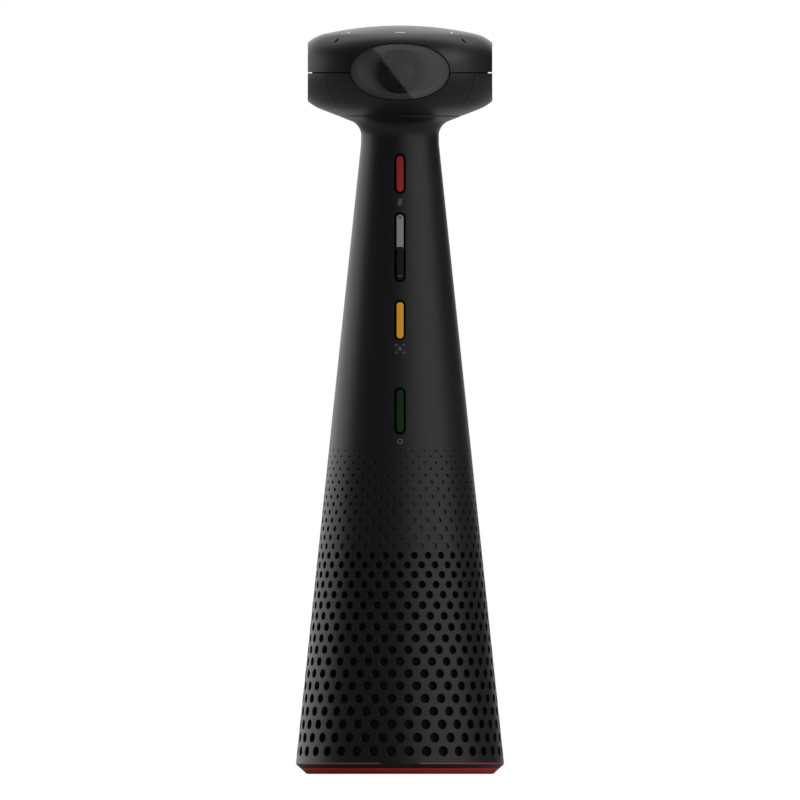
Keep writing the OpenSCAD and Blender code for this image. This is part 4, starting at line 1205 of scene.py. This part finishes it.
bpy.ops.object.select_all(action="DESELECT")
bpy.ops.mesh.primitive_circle_add(vertices=128, radius=FLOOR_R, fill_type="NGON", location=(0, 0, -0.0001))
floor = bpy.context.object
floor.name = "floor"
floor_paper, floor_shader, floor_place = new_finish("floor_paper")
fibres = floor_place.node("TexNoise", {}, {"Vector": floor_place, "Scale": 400.0, "Detail": 3.0})
pale = floor_place.blend(fibres, grey(0.84), grey(0.90))
by_camera = floor_place.node("LightPath", out="Is Camera Ray")
by_diffuse = floor_place.node("LightPath", out="Is Diffuse Ray")
sideways = floor_place.node("SeparateXYZ", {}, {0: floor_place}, out=0)
backwards = floor_place.node("SeparateXYZ", {}, {0: floor_place}, out=1)
behind = backwards - sideways.sum("ABSOLUTE", sideways, 0.0) * 0.8
far = behind.node("MapRange", {}, {"Value": behind, "From Min": FAR_FROM, "From Max": FAR_TO})
pale_not_painted_shade = far.sum("MAXIMUM", by_camera + by_diffuse, far)
# Painted shade: where this mask is low, glossy rays see the floor in dark grey instead of pale.
pale.blend(pale_not_painted_shade, grey(0.32), pale).into(floor_shader["Base Color"])
floor_shader["Roughness"].default_value = 0.8
floor.data.materials.append(floor_paper)
bpy.ops.mesh.primitive_plane_add(size=SHEET_W, location=(0, 0, -0.0003))
beyond = bpy.context.object
beyond.name, beyond.visible_camera = "floor_beyond", False
beyond.data.materials.append(floor_paper)
print("floor:", floor.name, "and", beyond.name)

# %% [markdown]
# The world is white where the camera sees it. For gloss it is white only behind the object, as a studio
# wall would be, and dim in front, so that the dark plastic keeps its depth.

# %% The world
AMBIENT = 0.36
world = bpy.data.worlds.new("studio")
bpy.context.scene.world = world
world.use_nodes = True
sky = world.node_tree
way = Wire(sky).node("TexCoord", out="Generated")
seen = way.node("LightPath", out="Is Camera Ray") + way.node("LightPath", out="Is Transmission Ray")
gloss = way.node("LightPath", out="Is Glossy Ray")
depth = way.node("SeparateXYZ", {}, {0: way}, out=1)
zone = {"Value": depth, "From Min": 0.82, "From Max": 0.97, "To Min": 0.05, "To Max": 1.0}
wall = way.node("MapRange", {"interpolation_type": "SMOOTHSTEP"}, zone)
rest = gloss * wall + (1 - gloss) * AMBIENT
strength = seen + (1 - seen) * rest
strength.into(sky.nodes["Background"].inputs["Strength"])
sky.nodes["Background"].inputs["Color"].default_value = (1, 1, 1, 1)
print("world:", world.name, "with", len(sky.nodes), "nodes")

# %% [markdown]
# Five soft boxes stand far away: a wide key low on the right, a brow light above it, a strip behind on the
# left that draws the bright edge, and two at the back for the crown and for the rim.

# %% Soft boxes
LAMPS_AIM_AT = Vector((0, 0, 0.16))


def soft_box(name, around, up, width, height, brightness, reach=2.4):
    """Angles are degrees from the front and from the level. A mirror shows white at brightness 1."""
    light = bpy.data.lights.new(name, "AREA")
    light.shape, light.size, light.size_y = "RECTANGLE", width, height
    light.energy = brightness * math.pi * width * height
    obj = bpy.data.objects.new(name, light)
    turn = Matrix.Rotation(math.radians(around), 3, "Z") @ Matrix.Rotation(math.radians(-up), 3, "X")
    aim = turn @ Vector((0, -reach, 0))
    obj.location = LAMPS_AIM_AT + aim
    obj.rotation_euler = (-aim).to_track_quat("-Z", "Y").to_euler()
    obj.visible_camera = False
    bpy.context.collection.objects.link(obj)


soft_box("key", 49, 7.4, 3.48, 1.08, 0.98)
soft_box("brow", 64, 40.6, 1.59, 1.33, 2.1)
soft_box("strip", -126, 10.2, 2.79, 1.59, 1.35)
soft_box("top", 180, 51.9, 3.1, 1.19, 1.4)
soft_box("rear", 180, 17.2, 2.08, 0.63, 1.2)
print("lamps:", len(bpy.data.lights))

# %% [markdown]
# The front pane mirrors the edge of a white card that stands in front of it. It is a sheet that
# only gloss can see, cut along a slanting line.

# %% The card that the front pane mirrors
CARD_Y = -350
CARD_EDGE = [(-11.2, 291.2), (4.8, 270.4), (14.0, 258.0), (60, 258.0), (60, 305.0), (-21.9, 305.0)]
card = drawn("card", [(x, CARD_Y, z) for x, z in CARD_EDGE], [range(len(CARD_EDGE))])
card_paper, card_shader, _ = new_finish("card_paper")
card_shader["Base Color"].default_value = grey(0)
card_shader["Emission Color"].default_value = grey(1)
card_shader["Emission Strength"].default_value = 0.72
card.data.materials.append(card_paper)
card.visible_camera = card.visible_diffuse = card.visible_shadow = card.visible_transmission = False
print("card:", len(CARD_EDGE), "corners,", -CARD_Y, "mm in front")

# %% [markdown]
# The photograph is taken level with the object from far away, so straight lines stay parallel: the
# camera is orthographic, and 320 mm fit across the picture.

# %% The camera
PICTURE_W, CAMERA_BACK, CAMERA_Z = 0.32, 1.2, 0.1496
lens = bpy.data.cameras.new("view")
lens.type, lens.ortho_scale, lens.clip_end = "ORTHO", PICTURE_W, 20
camera = bpy.data.objects.new("view", lens)
camera.location = (0, -CAMERA_BACK, CAMERA_Z)
camera.rotation_euler = (math.pi / 2, 0, 0)
bpy.context.collection.objects.link(camera)
bpy.context.scene.camera = camera
bpy.context.scene.view_settings.view_transform = "Standard"
print("camera:", lens.type, lens.ortho_scale, "m across")

# %% [markdown]
# Last, the number of pieces and of their triangles is printed.

# %% Counts, and the end
print("pieces:", len(made), "triangles:", sum(len(f.vertices) - 2 for o in made for f in o.data.polygons))
